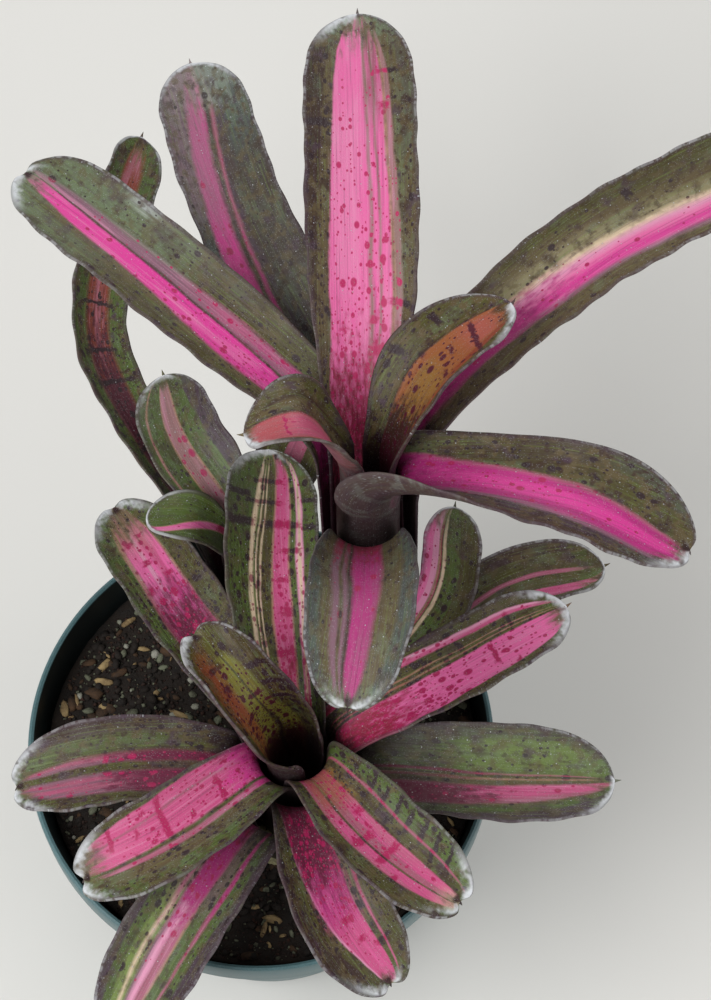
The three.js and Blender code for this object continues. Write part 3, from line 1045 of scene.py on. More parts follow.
@dataclass
class Rosette:
    """One tubular rosette: its stem, its leaves from the innermost out, and their fringe."""

    name: str
    at: tuple[float, float]
    lean: float  # degrees from upright
    lean_to: float  # the azimuth that it leans to
    flare: float  # how fast its tube widens, radius over height
    leaves: tuple[Leaf, ...]
    seed: int = 80  # the innermost leaf's, one more for each leaf outwards
    spine: float = 0.5  # mm
    shape: LeafShape = field(default_factory=LeafShape)

    def placed(self, points: Points) -> Points:
        """Leans points of the upright rosette and sets them in the potting mix.

        Args:
            points: one row a point.

        Returns:
            The moved points.
        """
        axis = Vector(polar(self.lean_to + 90, 1, 0))
        turn = np.array(Matrix.Rotation(math.radians(self.lean), 3, axis))
        return points @ turn.T + np.array([*self.at, SOIL_LEVEL])

    def build(self, horn: bpy.types.Material, pith: bpy.types.Material) -> None:
        """Makes and places every piece of the rosette.

        Args:
            horn: the spines' finish.
            pith: the stem's finish.
        """
        fringe = Fringe(length=self.spine)
        for order, leaf in enumerate(self.leaves):
            name = f"{self.name}_leaf_{order + 1:02d}"
            seed = self.seed + order
            line = self.shape.stations(leaf, self.flare, order)
            points, faces, attributes = self.shape.build(line, seed)
            finish = LeafMaterial(f"{name}_skin", leaf.finish, float(line["reach"][-1]), leaf.notch).build()
            piece = make_piece(f"{name}_blade", self.placed(points), faces, finish, attributes)
            place(piece, leaf.slot, name)
            fringe.dress(self.shape, line, np.random.default_rng(seed))
        points = self.placed(np.array(fringe.points))
        place(make_piece(f"{self.name}_spines", points, fringe.faces, horn), Slot.STRIPED_LEAF)
        points, faces = self.stem()
        stock = make_piece(f"{self.name}_stock", self.placed(points), faces, pith)
        place(stock, Slot.STEM, f"{self.name}_stem")

    def stem(self) -> tuple[Points, list]:
        """The short stem: a tapered root, the plate that carries the sheaths and a domed core.

        Returns:
            Points and faces of a closed turned body.
        """
        plate = self.shape.core_radius + self.shape.gap + self.shape.pitch * len(self.leaves)
        top = self.shape.base_height - self.shape.gap
        profile = [(0.02, -24), (1.92, -24), (3.2, -4.8), (plate, top - 2.4), (plate, top - 0.3)]
        profile += [(plate - 0.4, top), (3.9, top + 0.02), (3.6, top + 0.6)]
        profile += [(3.24, 13), (2.2, 14.6), (0.02, 15)]
        return turned(profile, 48)


# ---- Finishes of the small parts -------------------------------------------------------------------------


@dataclass(frozen=True)
class GrainyFinish:
    """A matt natural or moulded surface: two tones in patches of a real size, with a fine grain."""

    name: str
    low: Tone
    high: Tone
    patch_mm: float
    grain_mm: float
    roughness: float
    relief_mm: float
    ior: float = 1.45
    shade_tone: Tone | None = None  # a third tone for painted shade, where the piece's attribute for it is above 0
    patchy: float = 1.0  # how much the patches show beside the grain

    def build(self) -> bpy.types.Material:
        """Makes the material.

        Returns:
            The finished material.
        """
        made = NodeMaterial(self.name)
        at = made.add(Step.PLACE).outputs["Object"]
        patches = made.add(Step.NOISE, at, 1 / (self.patch_mm * MM), 3.0)
        grains = made.add(Step.NOISE, at, 1 / (self.grain_mm * MM), 2.0)
        patches = made.add(Step.MULTIPLY_ADD, patches, self.patchy, 0.5 * (1 - self.patchy))
        mixed = made.add(Step.MULTIPLY_ADD, grains, 0.5, patches)
        colour = made.add(Step.RAMP, mixed, stops=[(0.45, linear(self.low)), (0.95, linear(self.high))])
        # Painted shade: the third tone rises where the piece's attribute for it is high.
        if self.shade_tone:
            painted_shade = made.add(Step.ATTRIBUTE, attribute_name="painted_shade").outputs["Fac"]
            thick = made.add(Step.MULTIPLY_ADD, mixed, 1.2, painted_shade)
            colour = made.add(Step.TINT, colour, self.shade_tone, made.add(Step.SPAN, thick, 1.1, 1.6, 0.92))
        rough = made.add(Step.MULTIPLY_ADD, grains, 0.25, self.roughness - 0.12)
        relief = made.add(Step.BUMP, grains, 0.6, self.relief_mm * MM)
        return made.close(colour, rough, relief, self.ior)


class Finishes(Enum):
    """The grainy finishes of the part."""

    HORN = GrainyFinish("horny_spine", Tone.SILVER, Tone.SCURF, 6.0, 0.8, 0.5, 0.02)  # dry and pale
    PITH = GrainyFinish("stem_skin", Tone.BROWN, Tone.STEM, 4.0, 0.6, 0.7, 0.1)  # fibrous, papery
    PEAT = GrainyFinish("damp_peat", Tone.PEAT, Tone.EARTH, 5.0, 0.8, 0.9, 0.5)  # dark, crumbly
    # Moulded polypropylene: a fine spark-eroded grain, a little paler where it is handled, and painted shade
    # in the peat's tone on its inside.
    POT = GrainyFinish(
        "moulded_polypropylene", Tone.POT, Tone.POT_WORN, 34.0, 0.35, 0.42, 0.03, 1.49, Tone.PEAT, 0.55
    )


@dataclass(frozen=True)
class Litter:
    """One kind of lump or grain that lies on the peat."""

    name: str
    count: int
    low: float  # mm, its smallest half length
    high: float
    dark: Tone
    pale: Tone
    slim: float = 1.0  # its width over its length
    patch_mm: float = 3.0
    grain_mm: float = 0.5
    relief_mm: float = 0.15


LUMPS = (
    # Crumbs of damp peat: dark and dull, they break up the surface.
    Litter("peat_crumbs", 1200, 0.5, 1.7, Tone.PEAT, Tone.EARTH, 0.7),
    # Composted pine bark: flat brown flakes.
    Litter("bark_chips", 450, 0.6, 2.6, Tone.PEAT, Tone.BARK, 0.45),
    # Bark grown over with algae: dull grey-green.
    Litter("mossy_chips", 330, 0.6, 1.9, Tone.EARTH, Tone.LICHEN, 0.5),
    # Husk and straw: slim and straw-coloured.
    Litter("chaff_chips", 225, 0.8, 2.9, Tone.BARK, Tone.CHAFF, 0.3),
    # Expanded volcanic glass, stained by the peat: round pale grains.
    Litter("perlite_grains", 90, 0.5, 1.4, Tone.LICHEN, Tone.PERLITE, 0.8),
)
GRAINS = (
    # Peat dust: a dark stipple between the lumps.
    Litter("peat_grains", 6000, 0.2, 0.9, Tone.PEAT, Tone.BROWN, 1.0, 1.2, 0.6, 0.1),
    # Sharp sand: grey glints.
    Litter("grit_grains", 1500, 0.2, 0.9, Tone.EARTH, Tone.LICHEN, 1.0, 1.2, 0.6, 0.1),
)


@dataclass
class PottingMix:
    """Peat with bark, chaff and perlite, filling the pot to a little below its rim."""

    level: float = SOIL_LEVEL
    swell: float = 0.72  # mm that the surface rises and falls over the pot
    crumble: float = 0.45  # mm, the fine part of it
    edge_radius: float = 53.5
    edge_drop: float = 2.5  # mm from the level to the top of the side
    foot_radius: float = 38.2
    foot: float = 2.6
    skew: float = 0.35  # radians, how far the lumps lie off the level
    lumps_inset: float = 1.5  # mm from the edge
    grains_inset: float = 0.8
    segments: int = 150
    rings: int = 54

    def height(self, x: float, y: float) -> float:
        """The height of the peat at a place.

        Args:
            x: millimetres from the pot's axis.
            y: the same.

        Returns:
            Millimetres above the pot's underside.
        """
        broad = math.sin(0.31 * x + 1.3) * math.cos(0.27 * y) + 0.6 * math.sin(0.63 * y - 0.41 * x)
        fine = noise.fractal(Vector((x, y, 3.0)) * 0.5, 0.9, 2.1, 4)
        return self.level + self.swell * broad + self.crumble * fine

    def body(self) -> tuple[Points, list]:
        """The closed mass with its rough top.

        Returns:
            Points and faces.
        """
        angles = np.arange(self.segments) * 2 * math.pi / self.segments
        rings = [(self.edge_radius * (i + 1) / self.rings) for i in range(self.rings)]
        points = [(0.0, 0.0, self.height(0, 0))]
        for radius in rings:
            places = zip(radius * np.cos(angles), radius * np.sin(angles))
            points += [(x, y, self.height(x, y)) for x, y in places]
        for radius, z in ((self.edge_radius, self.level - self.edge_drop), (self.foot_radius, self.foot)):
            points += [(x, y, z) for x, y in zip(radius * np.cos(angles), radius * np.sin(angles))]
        points.append((0.0, 0.0, self.foot))
        count = len(rings) + 2
        faces = []
        for j in range(self.segments):
            k = (j + 1) % self.segments
            faces.append((0, 1 + j, 1 + k))
            for i in range(count - 1):
                a, b = 1 + i * self.segments, 1 + (i + 1) * self.segments
                faces.append((a + j, b + j, b + k, a + k))
            last = 1 + (count - 1) * self.segments
            faces.append((last + k, last + j, len(points) - 1))
        return np.array(points), faces

    def crumb(self, rng: np.random.Generator, size: Points, at: Points) -> tuple[Points, list]:
        """One rough lump: a cube-sphere pushed out of shape.

        Args:
            rng: the seeded source of chance.
            size: its half lengths.
            at: its centre.

        Returns:
            Points and faces.
        """
        axis = np.linspace(-1, 1, 3)
        cells = [(x, y, z) for x in axis for y in axis for z in axis]
        grid = np.array([cell for cell in cells if max(map(abs, cell)) == 1])
        index = {tuple(p): i for i, p in enumerate(grid)}
        faces = []
        for face_axis in range(3):
            for sign in (-1.0, 1.0):
                for i in (-1.0, 0.0):
                    for j in (-1.0, 0.0):
                        corners = [(i, j), (i + 1, j), (i + 1, j + 1), (i, j + 1)]
                        ids = [index[tuple(np.insert(c, face_axis, sign))] for c in corners]
                        flip = (sign > 0) == (face_axis == 1)
                        faces.append(tuple(reversed(ids)) if flip else tuple(ids))
        points = unit(grid) * mix(0.75, 1.15, rng.random((len(grid), 1))) * size
        turn = Matrix.Rotation(rng.uniform(0, 6.3), 3, "Z")
        turn = turn @ Matrix.Rotation(rng.normal(0, self.skew), 3, "X")
        return points @ np.array(turn).T + at, faces

    def spot(self, rng: np.random.Generator, inset: float) -> Points:
        """A random point on the peat.

        Args:
            rng: the seeded source of chance.
            inset: how far it keeps from the edge, in mm.

        Returns:
            The point.
        """
        radius = (self.edge_radius - inset) * math.sqrt(rng.random())
        angle = rng.uniform(0, 2 * math.pi)
        x, y = radius * math.cos(angle), radius * math.sin(angle)
        return np.array([x, y, self.height(x, y)])

    def lumps(self, rng: np.random.Generator, kind: Litter) -> tuple[Points, list]:
        """Lumps of one kind on the peat, as one mesh.

        Args:
            rng: the seeded source of chance.
            kind: their number, sizes and shape.

        Returns:
            Points and faces.
        """
        points, faces, total = [], [], 0
        for _ in range(kind.count):
            at = self.spot(rng, self.lumps_inset)
            size = mix(kind.low, kind.high, rng.random() ** 2)
            wide = size * mix(kind.slim, 1, rng.random() * 0.4)
            shape = np.array([size, wide, size * kind.slim * 0.8])
            made, own = self.crumb(rng, shape, at + (0, 0, 0.15 * size))
            points.append(made)
            faces += shifted(own, total)
            total += len(made)
        return np.vstack(points), faces

    def grains(self, rng: np.random.Generator, kind: Litter) -> tuple[Points, list]:
        """Tiny eight-sided grains of one kind on the peat, as one mesh.

        Args:
            rng: the seeded source of chance.
            kind: their number and sizes.

        Returns:
            Points and faces.
        """
        corners = np.array([(1, 0, 0), (0, 1, 0), (-1, 0, 0), (0, -1, 0), (0, 0, 1), (0, 0, -1)], float)
        sides = [(i, (i + 1) % 4, 4) for i in range(4)] + [((i + 1) % 4, i, 5) for i in range(4)]
        points, faces = [], []
        for n in range(kind.count):
            at = self.spot(rng, self.grains_inset)
            size = mix(kind.low, kind.high, rng.random() ** 3) * mix(0.5, 1.2, rng.random((6, 1)))
            turn = np.array(Matrix.Rotation(rng.uniform(0, 6.3), 3, "Z"))
            points.append((corners * size) @ turn.T + at + (0, 0, kind.low * 0.4))
            faces += shifted(sides, len(corners) * n)
        return np.vstack(points), faces

    def build(self) -> None:
        """Makes and places the peat and what lies on it."""
        peat = make_piece("peat_fill", *self.body(), Finishes.PEAT.value.build())
        place(peat, Slot.POTTING_MIX, "potting_mix")
        for make, seed, kinds in ((self.lumps, 70, LUMPS), (self.grains, 80, GRAINS)):
            for i, kind in enumerate(kinds):
                sizes = (kind.patch_mm, kind.grain_mm, 0.85, kind.relief_mm)
                finish = GrainyFinish(f"{kind.name}_skin", kind.dark, kind.pale, *sizes).build()
                points, faces = make(np.random.default_rng(seed + i), kind)
                place(make_piece(kind.name, points, faces, finish), Slot.POTTING_MIX)


@dataclass
class Pot:
    """A thin moulded nursery pot with a stepped rim band and drain holes."""

    height: float = 92.0
    rim_radius: float = 57.5
    foot_radius: float = 40.0
    wall: float = 1.6
    floor: float = 2.2
    band_height: float = 11.0
    band_step: float = 1.5
    drain_count: int = 6
    drain_radius: float = 4.0
    drain_ring: float = 29.0  # mm from the axis to their middles
    sharp: float = 35.0  # degrees from which an edge is sharp
    segments: int = 144

    def shell(self) -> bpy.types.Object:
        """The turned pot without its drain holes, with painted shade on its inside.

        Returns:
            The object.
        """
        band, top = self.height - self.band_height, self.height
        rim, below = self.rim_radius, self.rim_radius - self.band_step
        foot, wall = self.foot_radius, self.wall
        outside = [(0.02, 0), (foot - 1.5, 0), (foot - 0.6, 0.25), (foot, 1.5), (below - 0.15, band - 1.2)]
        outside += [(below, band), (rim - 0.5, band + 0.4), (rim - 0.15, band + 1.2), (rim, top - 1.2)]
        lip = [(rim - 0.2, top - 0.4), (rim - 0.8, top), (rim - wall + 0.2, top - 0.3)]
        inside = [(rim - wall, top - 0.9), (rim - wall - 0.5, band), (below - wall - 0.3, band - 2)]
        inside += [(foot - wall + 0.3, self.floor + 1.5), (foot - wall - 1, self.floor), (0.02, self.floor)]
        points, faces = turned([*outside, *lip, *inside], self.segments)
        # Painted shade: none on the outside and the lip, nearly full at the top of the inside, full below.
        rows = [0.0] * (len(outside) + len(lip)) + [0.9] + [1.0] * (len(inside) - 1)
        painted_shade = np.repeat(rows, self.segments)
        return make_piece("pot_shell", points, faces, Finishes.POT.value.build(), {"painted_shade": painted_shade})

    def drain(self, pot: bpy.types.Object) -> None:
        """Cuts the ring of drain holes through the floor.

        Args:
            pot: the turned pot.
        """
        cutters = []
        for i in range(self.drain_count):
            drill, faces = turned([(self.drain_radius, -5), (self.drain_radius, 8)], 32)
            drill += polar(360 * i / self.drain_count, self.drain_ring, 0)
            cutters.append(make_piece(f"drill_{i}", drill, faces, pot.active_material))
            cut = pot.modifiers.new(f"drain_{i}", "BOOLEAN")
            cut.operation, cut.object, cut.solver = "DIFFERENCE", cutters[-1], "EXACT"
        evaluated = pot.evaluated_get(bpy.context.evaluated_depsgraph_get())
        finished = bpy.data.meshes.new_from_object(evaluated)
        pot.modifiers.clear()
        pot.data = finished
        for cutter in cutters:
            bpy.data.objects.remove(cutter)

    def build(self) -> None:
        """Makes the pot and places it."""
        pot = self.shell()
        self.drain(pot)
        pot.data.shade_smooth()
        pot.data.set_sharp_from_angle(angle=math.radians(self.sharp))
        place(pot, Slot.POT_PLASTIC, "pot")


# ---- The plant -------------------------------------------------------------------------------------------


T = Tone  # short, for the tables of the leaves' finishes: one for each leaf, from the innermost out
# Rolled round the tank: a yellow and orange centre between olive margins, thick with spots.
FRONT_01 = BladeFinish(
    ((-1, T.OLIVE), (-0.42, T.YELLOW), (-0.18, T.BROWN), (-0.14, T.YELLOW), (0.1, T.ORANGE), (0.45, T.OLIVE)),
    tip=T.OLIVE, tip_from=0.74, base=T.YELLOW, base_to=-0.1, spots=1.9, silver=0.03, streak=T.LIME,
    frost=(-0.2, 1.0, 3.0), soft=0.02, mark=T.WINE,
    washes=(Wash(T.TERRACOTTA, 0.1, 0.6, 0.45, 0.85, 0.7), Wash(T.BROWN, -1, -0.3, 0.3, 0.9, 0.5)),
    bars=(
        Bar(0.74, -0.1, 0.35, 0.8), Bar(0.62, 0.1, 0.3, 1.2), Bar(0.5, -0.4, -0.1, 0.7),
        Bar(0.4, 0.0, 0.3, 1.1), Bar(0.66, -0.95, -0.4, 0.9), Bar(0.54, -0.9, -0.45, 0.7),
        Bar(0.42, -0.9, -0.3, 0.8),
    ),
)
# Rose with olive stripes over a coral base, and short bars all up its right margin.
FRONT_02 = BladeFinish(
    ((-1, T.OLIVE), (-0.55, T.ROSE), (-0.3, T.OLIVE), (-0.26, T.DUSTY), (-0.1, T.ROSE), (0.16, T.OLIVE),
     (0.49, T.DUSTY), (0.56, T.MOSS)),
    base=T.CORAL, base_to=0.0, mottle=0.8, frost=(-0.8, 1.0, 3.2), spots=0.8, streak=T.BUFF,
    washes=(Wash(T.ORANGE, -0.6, 0.3, 0.0, 0.32, 0.75), Wash(T.CREAM, -0.6, 0.1, 0.9, 1.0, 0.5)),
    bars=(
        Bar(0.61, -0.5, 0.2, 1.0), Bar(0.5, -0.55, -0.05, 1.2), Bar(0.5, 0.2, 0.45),
        Bar(0.7, -0.65, -0.4, 0.9), Bar(0.38, -0.1, 0.2, 1.0), Bar(0.19, 0.0, 0.2, 0.7),
        Bar(0.36, 0.5, 1.0, 0.7), Bar(0.44, 0.4, 0.9, 0.7), Bar(0.52, 0.4, 0.95, 0.7),
        Bar(0.6, 0.35, 0.9, 0.8), Bar(0.68, 0.4, 0.95, 0.8), Bar(0.76, 0.3, 0.9, 0.8),
        Bar(0.84, 0.4, 0.9, 0.7),
    ),
)
# A rose centre with dusty lines and a hot pink base.
FRONT_03 = BladeFinish(
    ((-1, T.OLIVE), (-0.88, T.ROSE), (-0.6, T.DUSTY), (-0.54, T.ROSE), (0.06, T.OLIVE), (0.14, T.DUSTY),
     (0.26, T.KHAKI), (0.6, T.MOSS)),
    tip_from=0.87, base=T.HOT, base_to=0.1, mottle=0.7, frost=(-1.0, 0.9, 3.4), spots=0.7,
    bars=(
        Bar(0.82, -0.85, -0.3, 0.7), Bar(0.58, -0.88, 0.1, 1.1), Bar(0.3, -0.6, 0.0, 0.7),
        Bar(0.73, 0.0, 0.12, 0.8), Bar(0.66, -0.8, -0.66, 0.9), Bar(0.7, -0.45, -0.3, 0.9),
    ),
)
# Moss green with cream and tan lines, and long dark bars.
FRONT_04 = BladeFinish(
    ((-1, T.MOSS), (-0.64, T.BLUSH), (-0.6, T.CREAM), (-0.54, T.BLUSH), (-0.5, T.MOSS), (-0.38, T.TAN),
     (-0.34, T.ROSE), (-0.02, T.TAN), (0.02, T.OLIVE), (0.2, T.CREAM), (0.23, T.OLIVE), (0.29, T.CREAM),
     (0.32, T.MOSS), (0.37, T.CREAM), (0.47, T.MOSS)),
    base_to=0.12, drift=-0.4, mottle=0.5, spots=1.1, frost=(-0.6, 1.0, 3.0),
    bars=(
        Bar(0.87, -0.4, 0.4, 0.8), Bar(0.8, -1, -0.7, 1.0), Bar(0.81, 0.4, 1.0, 1.0),
        Bar(0.785, -0.3, 0.5, 0.8), Bar(0.7, 0.3, 1.0, 1.4), Bar(0.7, -0.65, 0.1, 1.4),
        Bar(0.69, -1, -0.7, 1.0), Bar(0.6, -0.65, -0.2, 0.9), Bar(0.5, -0.35, -0.1, 0.8),
        Bar(0.39, -0.4, -0.1, 1.5), Bar(0.26, -0.35, 0.15, 0.9),
    ),
)
# A broad pink centre, and an olive right margin with tan lines.
FRONT_05 = BladeFinish(
    ((-1, T.OLIVE), (-0.83, T.PINK), (0.13, T.OLIVE), (0.22, T.TAN), (0.26, T.OLIVE), (0.34, T.TAN),
     (0.37, T.OLIVE), (0.6, T.ROSE), (0.7, T.BLUSH), (0.78, T.OLIVE)),
    base_to=0.24, gather=0.6, mottle=0.6, spots=1.7, frost=(-1.0, 1.0, 3.0),
    bars=(
        Bar(0.69, -0.5, 0.1, 0.8), Bar(0.76, -0.8, -0.6, 0.9), Bar(0.6, 0.3, 0.55, 0.9),
        Bar(0.8, 0.2, 0.6, 0.8),
    ),
)
# A rose centre that deepens to berry, between wide olive margins.
FRONT_06 = BladeFinish(
    ((-1, T.BROWN), (-0.7, T.OLIVE), (-0.43, T.BLUSH), (-0.38, T.ROSE), (0.3, T.OLIVE), (0.48, T.DUSTY),
     (0.55, T.OLIVE)),
    base=T.BERRY, base_to=0.38, drift=0.35, gather=0.9, spots=1.4, frost=(-0.9, 0.6, 3.2), mottle=0.9,
    streak=T.PINK, washes=(Wash(T.MAGENTA, -0.45, 0.35, 0.3, 0.65, 0.7),),
    bars=(
        Bar(0.8, 0.3, 0.7, 0.8), Bar(0.74, 0.0, 0.2, 0.8), Bar(0.64, -0.1, 0.2, 0.9),
        Bar(0.61, 0.2, 0.4, 0.7), Bar(0.5, 0.5, 0.9, 0.8), Bar(0.4, 0.5, 0.9, 0.7),
    ),
)
# Pink with tan edges and a berry base.
FRONT_07 = BladeFinish(
    ((-1, T.OLIVE), (-0.42, T.TAN), (-0.37, T.PINK), (-0.22, T.ROSE), (-0.05, T.PINK), (0.1, T.BLUSH),
     (0.2, T.PINK), (0.5, T.TAN), (0.6, T.MOSS)),
    tip_from=0.85, base=T.BERRY, base_to=0.47, spots=1.3, mottle=0.7, frost=(-0.9, 1.0, 3.4),
    washes=(Wash(T.TAN, -0.35, 0.5, 0.78, 0.9, 0.5), Wash(T.MAGENTA, -0.45, 0.6, 0.3, 0.62, 0.7)),
    bars=(
        Bar(0.82, 0.15, 0.35, 0.9), Bar(0.73, 0.0, 0.2, 1.0), Bar(0.66, -0.3, -0.1, 0.8),
        Bar(0.63, 0.3, 0.5, 1.5), Bar(0.55, 0.1, 0.25, 0.9), Bar(0.84, -0.2, 0.0, 0.8),
    ),
)
# Narrow: moss green with one cream line, and pink on the right.
FRONT_08 = BladeFinish(
    ((-1, T.OLIVE), (-0.3, T.MOSS), (0.22, T.CREAM), (0.34, T.MOSS), (0.38, T.CRIMSON), (0.42, T.TAN),
     (0.5, T.BLUSH), (0.72, T.PINK)),
    base_to=0.3, spots=1.2, gather=0.1,
)
# Mauve and dusty lines on olive, and a wine-dark base; its darkened greens and the plum wash on its left
# margin are painted shade.
FRONT_09 = BladeFinish(
    ((-1, T.OLIVE), (-0.25, T.DUSTY), (-0.14, T.MAUVE), (-0.06, T.OLIVE), (0.15, T.MAUVE), (0.24, T.DUSTY),
     (0.36, T.MAUVE), (0.42, T.DUSTY), (0.55, T.MAUVE), (0.69, T.OLIVE)),
    base=T.BERRY, base_to=0.48, streak=T.ROSE, silver=0.12, spots=0.7, mottle=0.8, frost=(-1.0, 1.0, 2.8),
    soft=0.025,
    washes=(
        Wash(T.WINE, -0.35, 0.8, -0.2, 0.45, 0.75), Wash(T.PLUM, -1.1, -0.65, 0.0, 0.9, 0.6),
        Wash(T.MOSS, -0.65, -0.3, 0.3, 1.0, 0.6),
    ),
    bars=(Bar(0.77, 0.5, 0.7, 0.8), Bar(0.6, -0.3, 0.0, 0.7)),
)
# Scurfy: dull rose with khaki and tan lines, and lime on the right.
FRONT_10 = BladeFinish(
    ((-1, T.PLUM), (-0.85, T.MOSS), (-0.66, T.KHAKI), (-0.58, T.DUSTY), (-0.46, T.ROSE), (-0.16, T.KHAKI),
     (-0.03, T.TAN), (0.01, T.OLIVE), (0.08, T.DUSTY), (0.12, T.MOSS)),
    base=T.BERRY, base_to=0.42, gather=0.9, silver=0.3, spots=0.3, mottle=0.6, frost=(-1.0, 0.3, 1.8),
    soft=0.02,
    washes=(
        Wash(T.MAROON, -1.1, 1.1, -0.2, 0.4, 0.6), Wash(T.LIME, 0.1, 0.75, 0.45, 0.97, 0.6),
        Wash(T.PLUM, 0.75, 1.2, 0.0, 0.95, 0.6),
    ),
)
# Lime and cream lines on moss green, with a mauve centre.
FRONT_11 = BladeFinish(
    ((-1, T.PLUM), (-0.85, T.MOSS), (-0.6, T.LIME), (-0.42, T.CREAM), (-0.34, T.LIME), (-0.26, T.MAUVE),
     (-0.18, T.BLUSH), (-0.06, T.DUSTY), (0.12, T.TAN), (0.17, T.MOSS), (0.45, T.DUSTY), (0.52, T.MOSS),
     (0.75, T.PLUM)),
    base=T.MAGENTA, base_to=0.4, silver=0.2, spots=0.6, soft=0.02,
    washes=(Wash(T.MAUVE, -0.6, 0.4, -0.1, 0.45, 0.6),), bars=(Bar(0.4, -0.35, -0.15, 0.9),),
)
# Plain olive and dusty rose: the leaf above covers most of it.
FRONT_12 = BladeFinish(
    ((-1, T.OLIVE), (-0.9, T.ROSE), (-0.55, T.OLIVE), (-0.05, T.DUSTY), (0.1, T.OLIVE), (0.6, T.BROWN)),
    base_to=0.3, spots=0.4,
)
# Short and brown, coral on the right.
TALL_01 = BladeFinish(
    ((-1, T.OLIVE), (-0.62, T.BROWN), (-0.5, T.KHAKI), (-0.3, T.BROWN), (-0.18, T.CORAL), (0.9, T.KHAKI)),
    tip=T.KHAKI, base=T.CORAL, base_to=0.0, mottle=0.8, spots=0.15, streak=T.BUFF, frost=(0.1, 1.0, 3.2),
    soft=0.025, washes=(Wash(T.ROSE, -0.1, 0.7, 0.2, 0.7, 0.5),), bars=(Bar(0.72, -0.1, 0.7, 0.35),),
)
# An orange and terracotta centre with wine-dark spots.
TALL_02 = BladeFinish(
    ((-1, T.OLIVE), (-0.7, T.TERRACOTTA), (-0.5, T.ORANGE), (0.4, T.BROWN), (0.44, T.OLIVE), (0.5, T.KHAKI),
     (0.53, T.OLIVE)),
    tip=T.OLIVE, tip_from=0.93, base=T.BROWN, base_to=0.2, spots=0.65, silver=0.04, streak=T.ORANGE,
    frost=(-1.0, 0.0, 2.8), soft=0.02, mark=T.WINE, mottle=0.9,
    washes=(Wash(T.CORAL, -0.4, 0.3, 0.72, 0.9, 0.5), Wash(T.YELLOW, -0.6, 0.2, 0.2, 0.55, 0.4)),
    bars=(
        Bar(0.77, -0.9, 0.3, 0.8, -1.0, 3.0), Bar(0.55, -0.5, -0.3, 1.0), Bar(0.53, 0.3, 0.45, 0.8),
        Bar(0.64, -0.1, 0.1, 0.7), Bar(0.7, 0.55, 0.9, 0.9), Bar(0.5, 0.6, 0.95, 0.9),
    ),
)
# Scurfy: khaki with mauve lines and a magenta centre.
TALL_04 = BladeFinish(
    ((-1, T.GREY), (-0.8, T.KHAKI), (-0.57, T.MAUVE), (-0.42, T.KHAKI), (-0.36, T.MAUVE), (-0.28, T.BROWN),
     (-0.2, T.MAGENTA), (0.3, T.KHAKI), (0.7, T.GREY)),
    tip=T.SAGE, base=T.CRIMSON, base_to=0.2, silver=0.22, spots=0.3, gather=0.5, frost=(-0.7, 0.8, 2.8),
    soft=0.03, streak=T.MAUVE,
)
# A hot magenta centre between brown margins.
TALL_03 = BladeFinish(
    ((-1, T.BROWN), (-0.62, T.PLUM), (-0.4, T.MAUVE), (-0.28, T.MAGENTA), (-0.1, T.HOT), (0.16, T.MAGENTA),
     (0.3, T.DUSTY), (0.38, T.OLIVE)),
    tip=T.KHAKI, base=T.MAGENTA, base_to=0.15, drift=-0.8, gather=0.0, mottle=0.9, spots=0.5, soft=0.02,
    frost=(-1.0, 0.2, 3.6), streak=T.HOT,
    washes=(Wash(T.BROWN, 0.5, 1.1, 0.3, 0.7, 0.5), Wash(T.GREY, 0.7, 1.1, 0.7, 1.0, 0.5)),
)
# Large: buff and pink lines on khaki, with ruby marks.
TALL_05 = BladeFinish(
    ((-1, T.KHAKI), (-0.64, T.BUFF), (-0.52, T.TAN), (-0.46, T.PINK), (-0.3, T.BUFF), (-0.25, T.PINK),
     (-0.15, T.BUFF), (-0.08, T.PINK), (0.58, T.KHAKI), (0.8, T.BROWN)),
    tip=T.SAGE, tip_from=0.93, base_to=0.1, gather=0.8, spots=0.7, mottle=0.9, frost=(0.1, 1.0, 3.4),
    mark=T.RUBY,
    washes=(
        Wash(T.OLIVE, -0.35, -0.1, 0.72, 1.0, 0.6), Wash(T.GREY, -1.0, -0.7, 0.6, 0.95, 0.5),
        Wash(T.BLUSH, 0.0, 0.5, 0.35, 0.75, 0.35), Wash(T.SAGE, -0.75, -0.6, 0.3, 0.8, 0.4),
    ),
    bars=(
        Bar(0.24, -0.58, -0.1, 1.6, 0.0), Bar(0.25, -0.8, -0.57), Bar(0.34, -0.95, -0.5, 0.9),
        Bar(0.76, -0.53, -0.32, 1.5), Bar(0.3, -0.3, -0.1, 1.1), Bar(0.28, 0.3, 0.45, 0.9),
        Bar(0.85, -0.7, -0.3, 0.9), Bar(0.72, 0.5, 1.0, 1.4),
    ),
)
# Hot pink on the right, brown and sage on the left.
TALL_06 = BladeFinish(
    ((-1, T.OLIVE), (-0.3, T.MAUVE), (-0.02, T.BROWN), (0.03, T.HOT), (0.47, T.KHAKI), (0.62, T.OLIVE)),
    tip=T.SAGE, base=T.MAGENTA, base_to=0.12, drift=-0.2, gather=0.9, spots=0.5, mottle=0.55, soft=0.02,
    frost=(-0.6, 1.0, 3.4),
    washes=(
        Wash(T.SAGE, -1.0, -0.25, 0.55, 0.95, 0.65), Wash(T.SAGE, 0.5, 1.0, 0.72, 1.0, 0.5),
        Wash(T.SCURF, -1.1, -0.8, 0.69, 0.73, 0.7), Wash(T.ROSE, -0.3, -0.1, 0.0, 0.5, 0.5),
        Wash(T.BROWN, -0.9, -0.4, 0.3, 0.5, 0.45), Wash(T.OLIVE, -1.0, -0.4, 0.1, 0.35, 0.5),
    ),
)
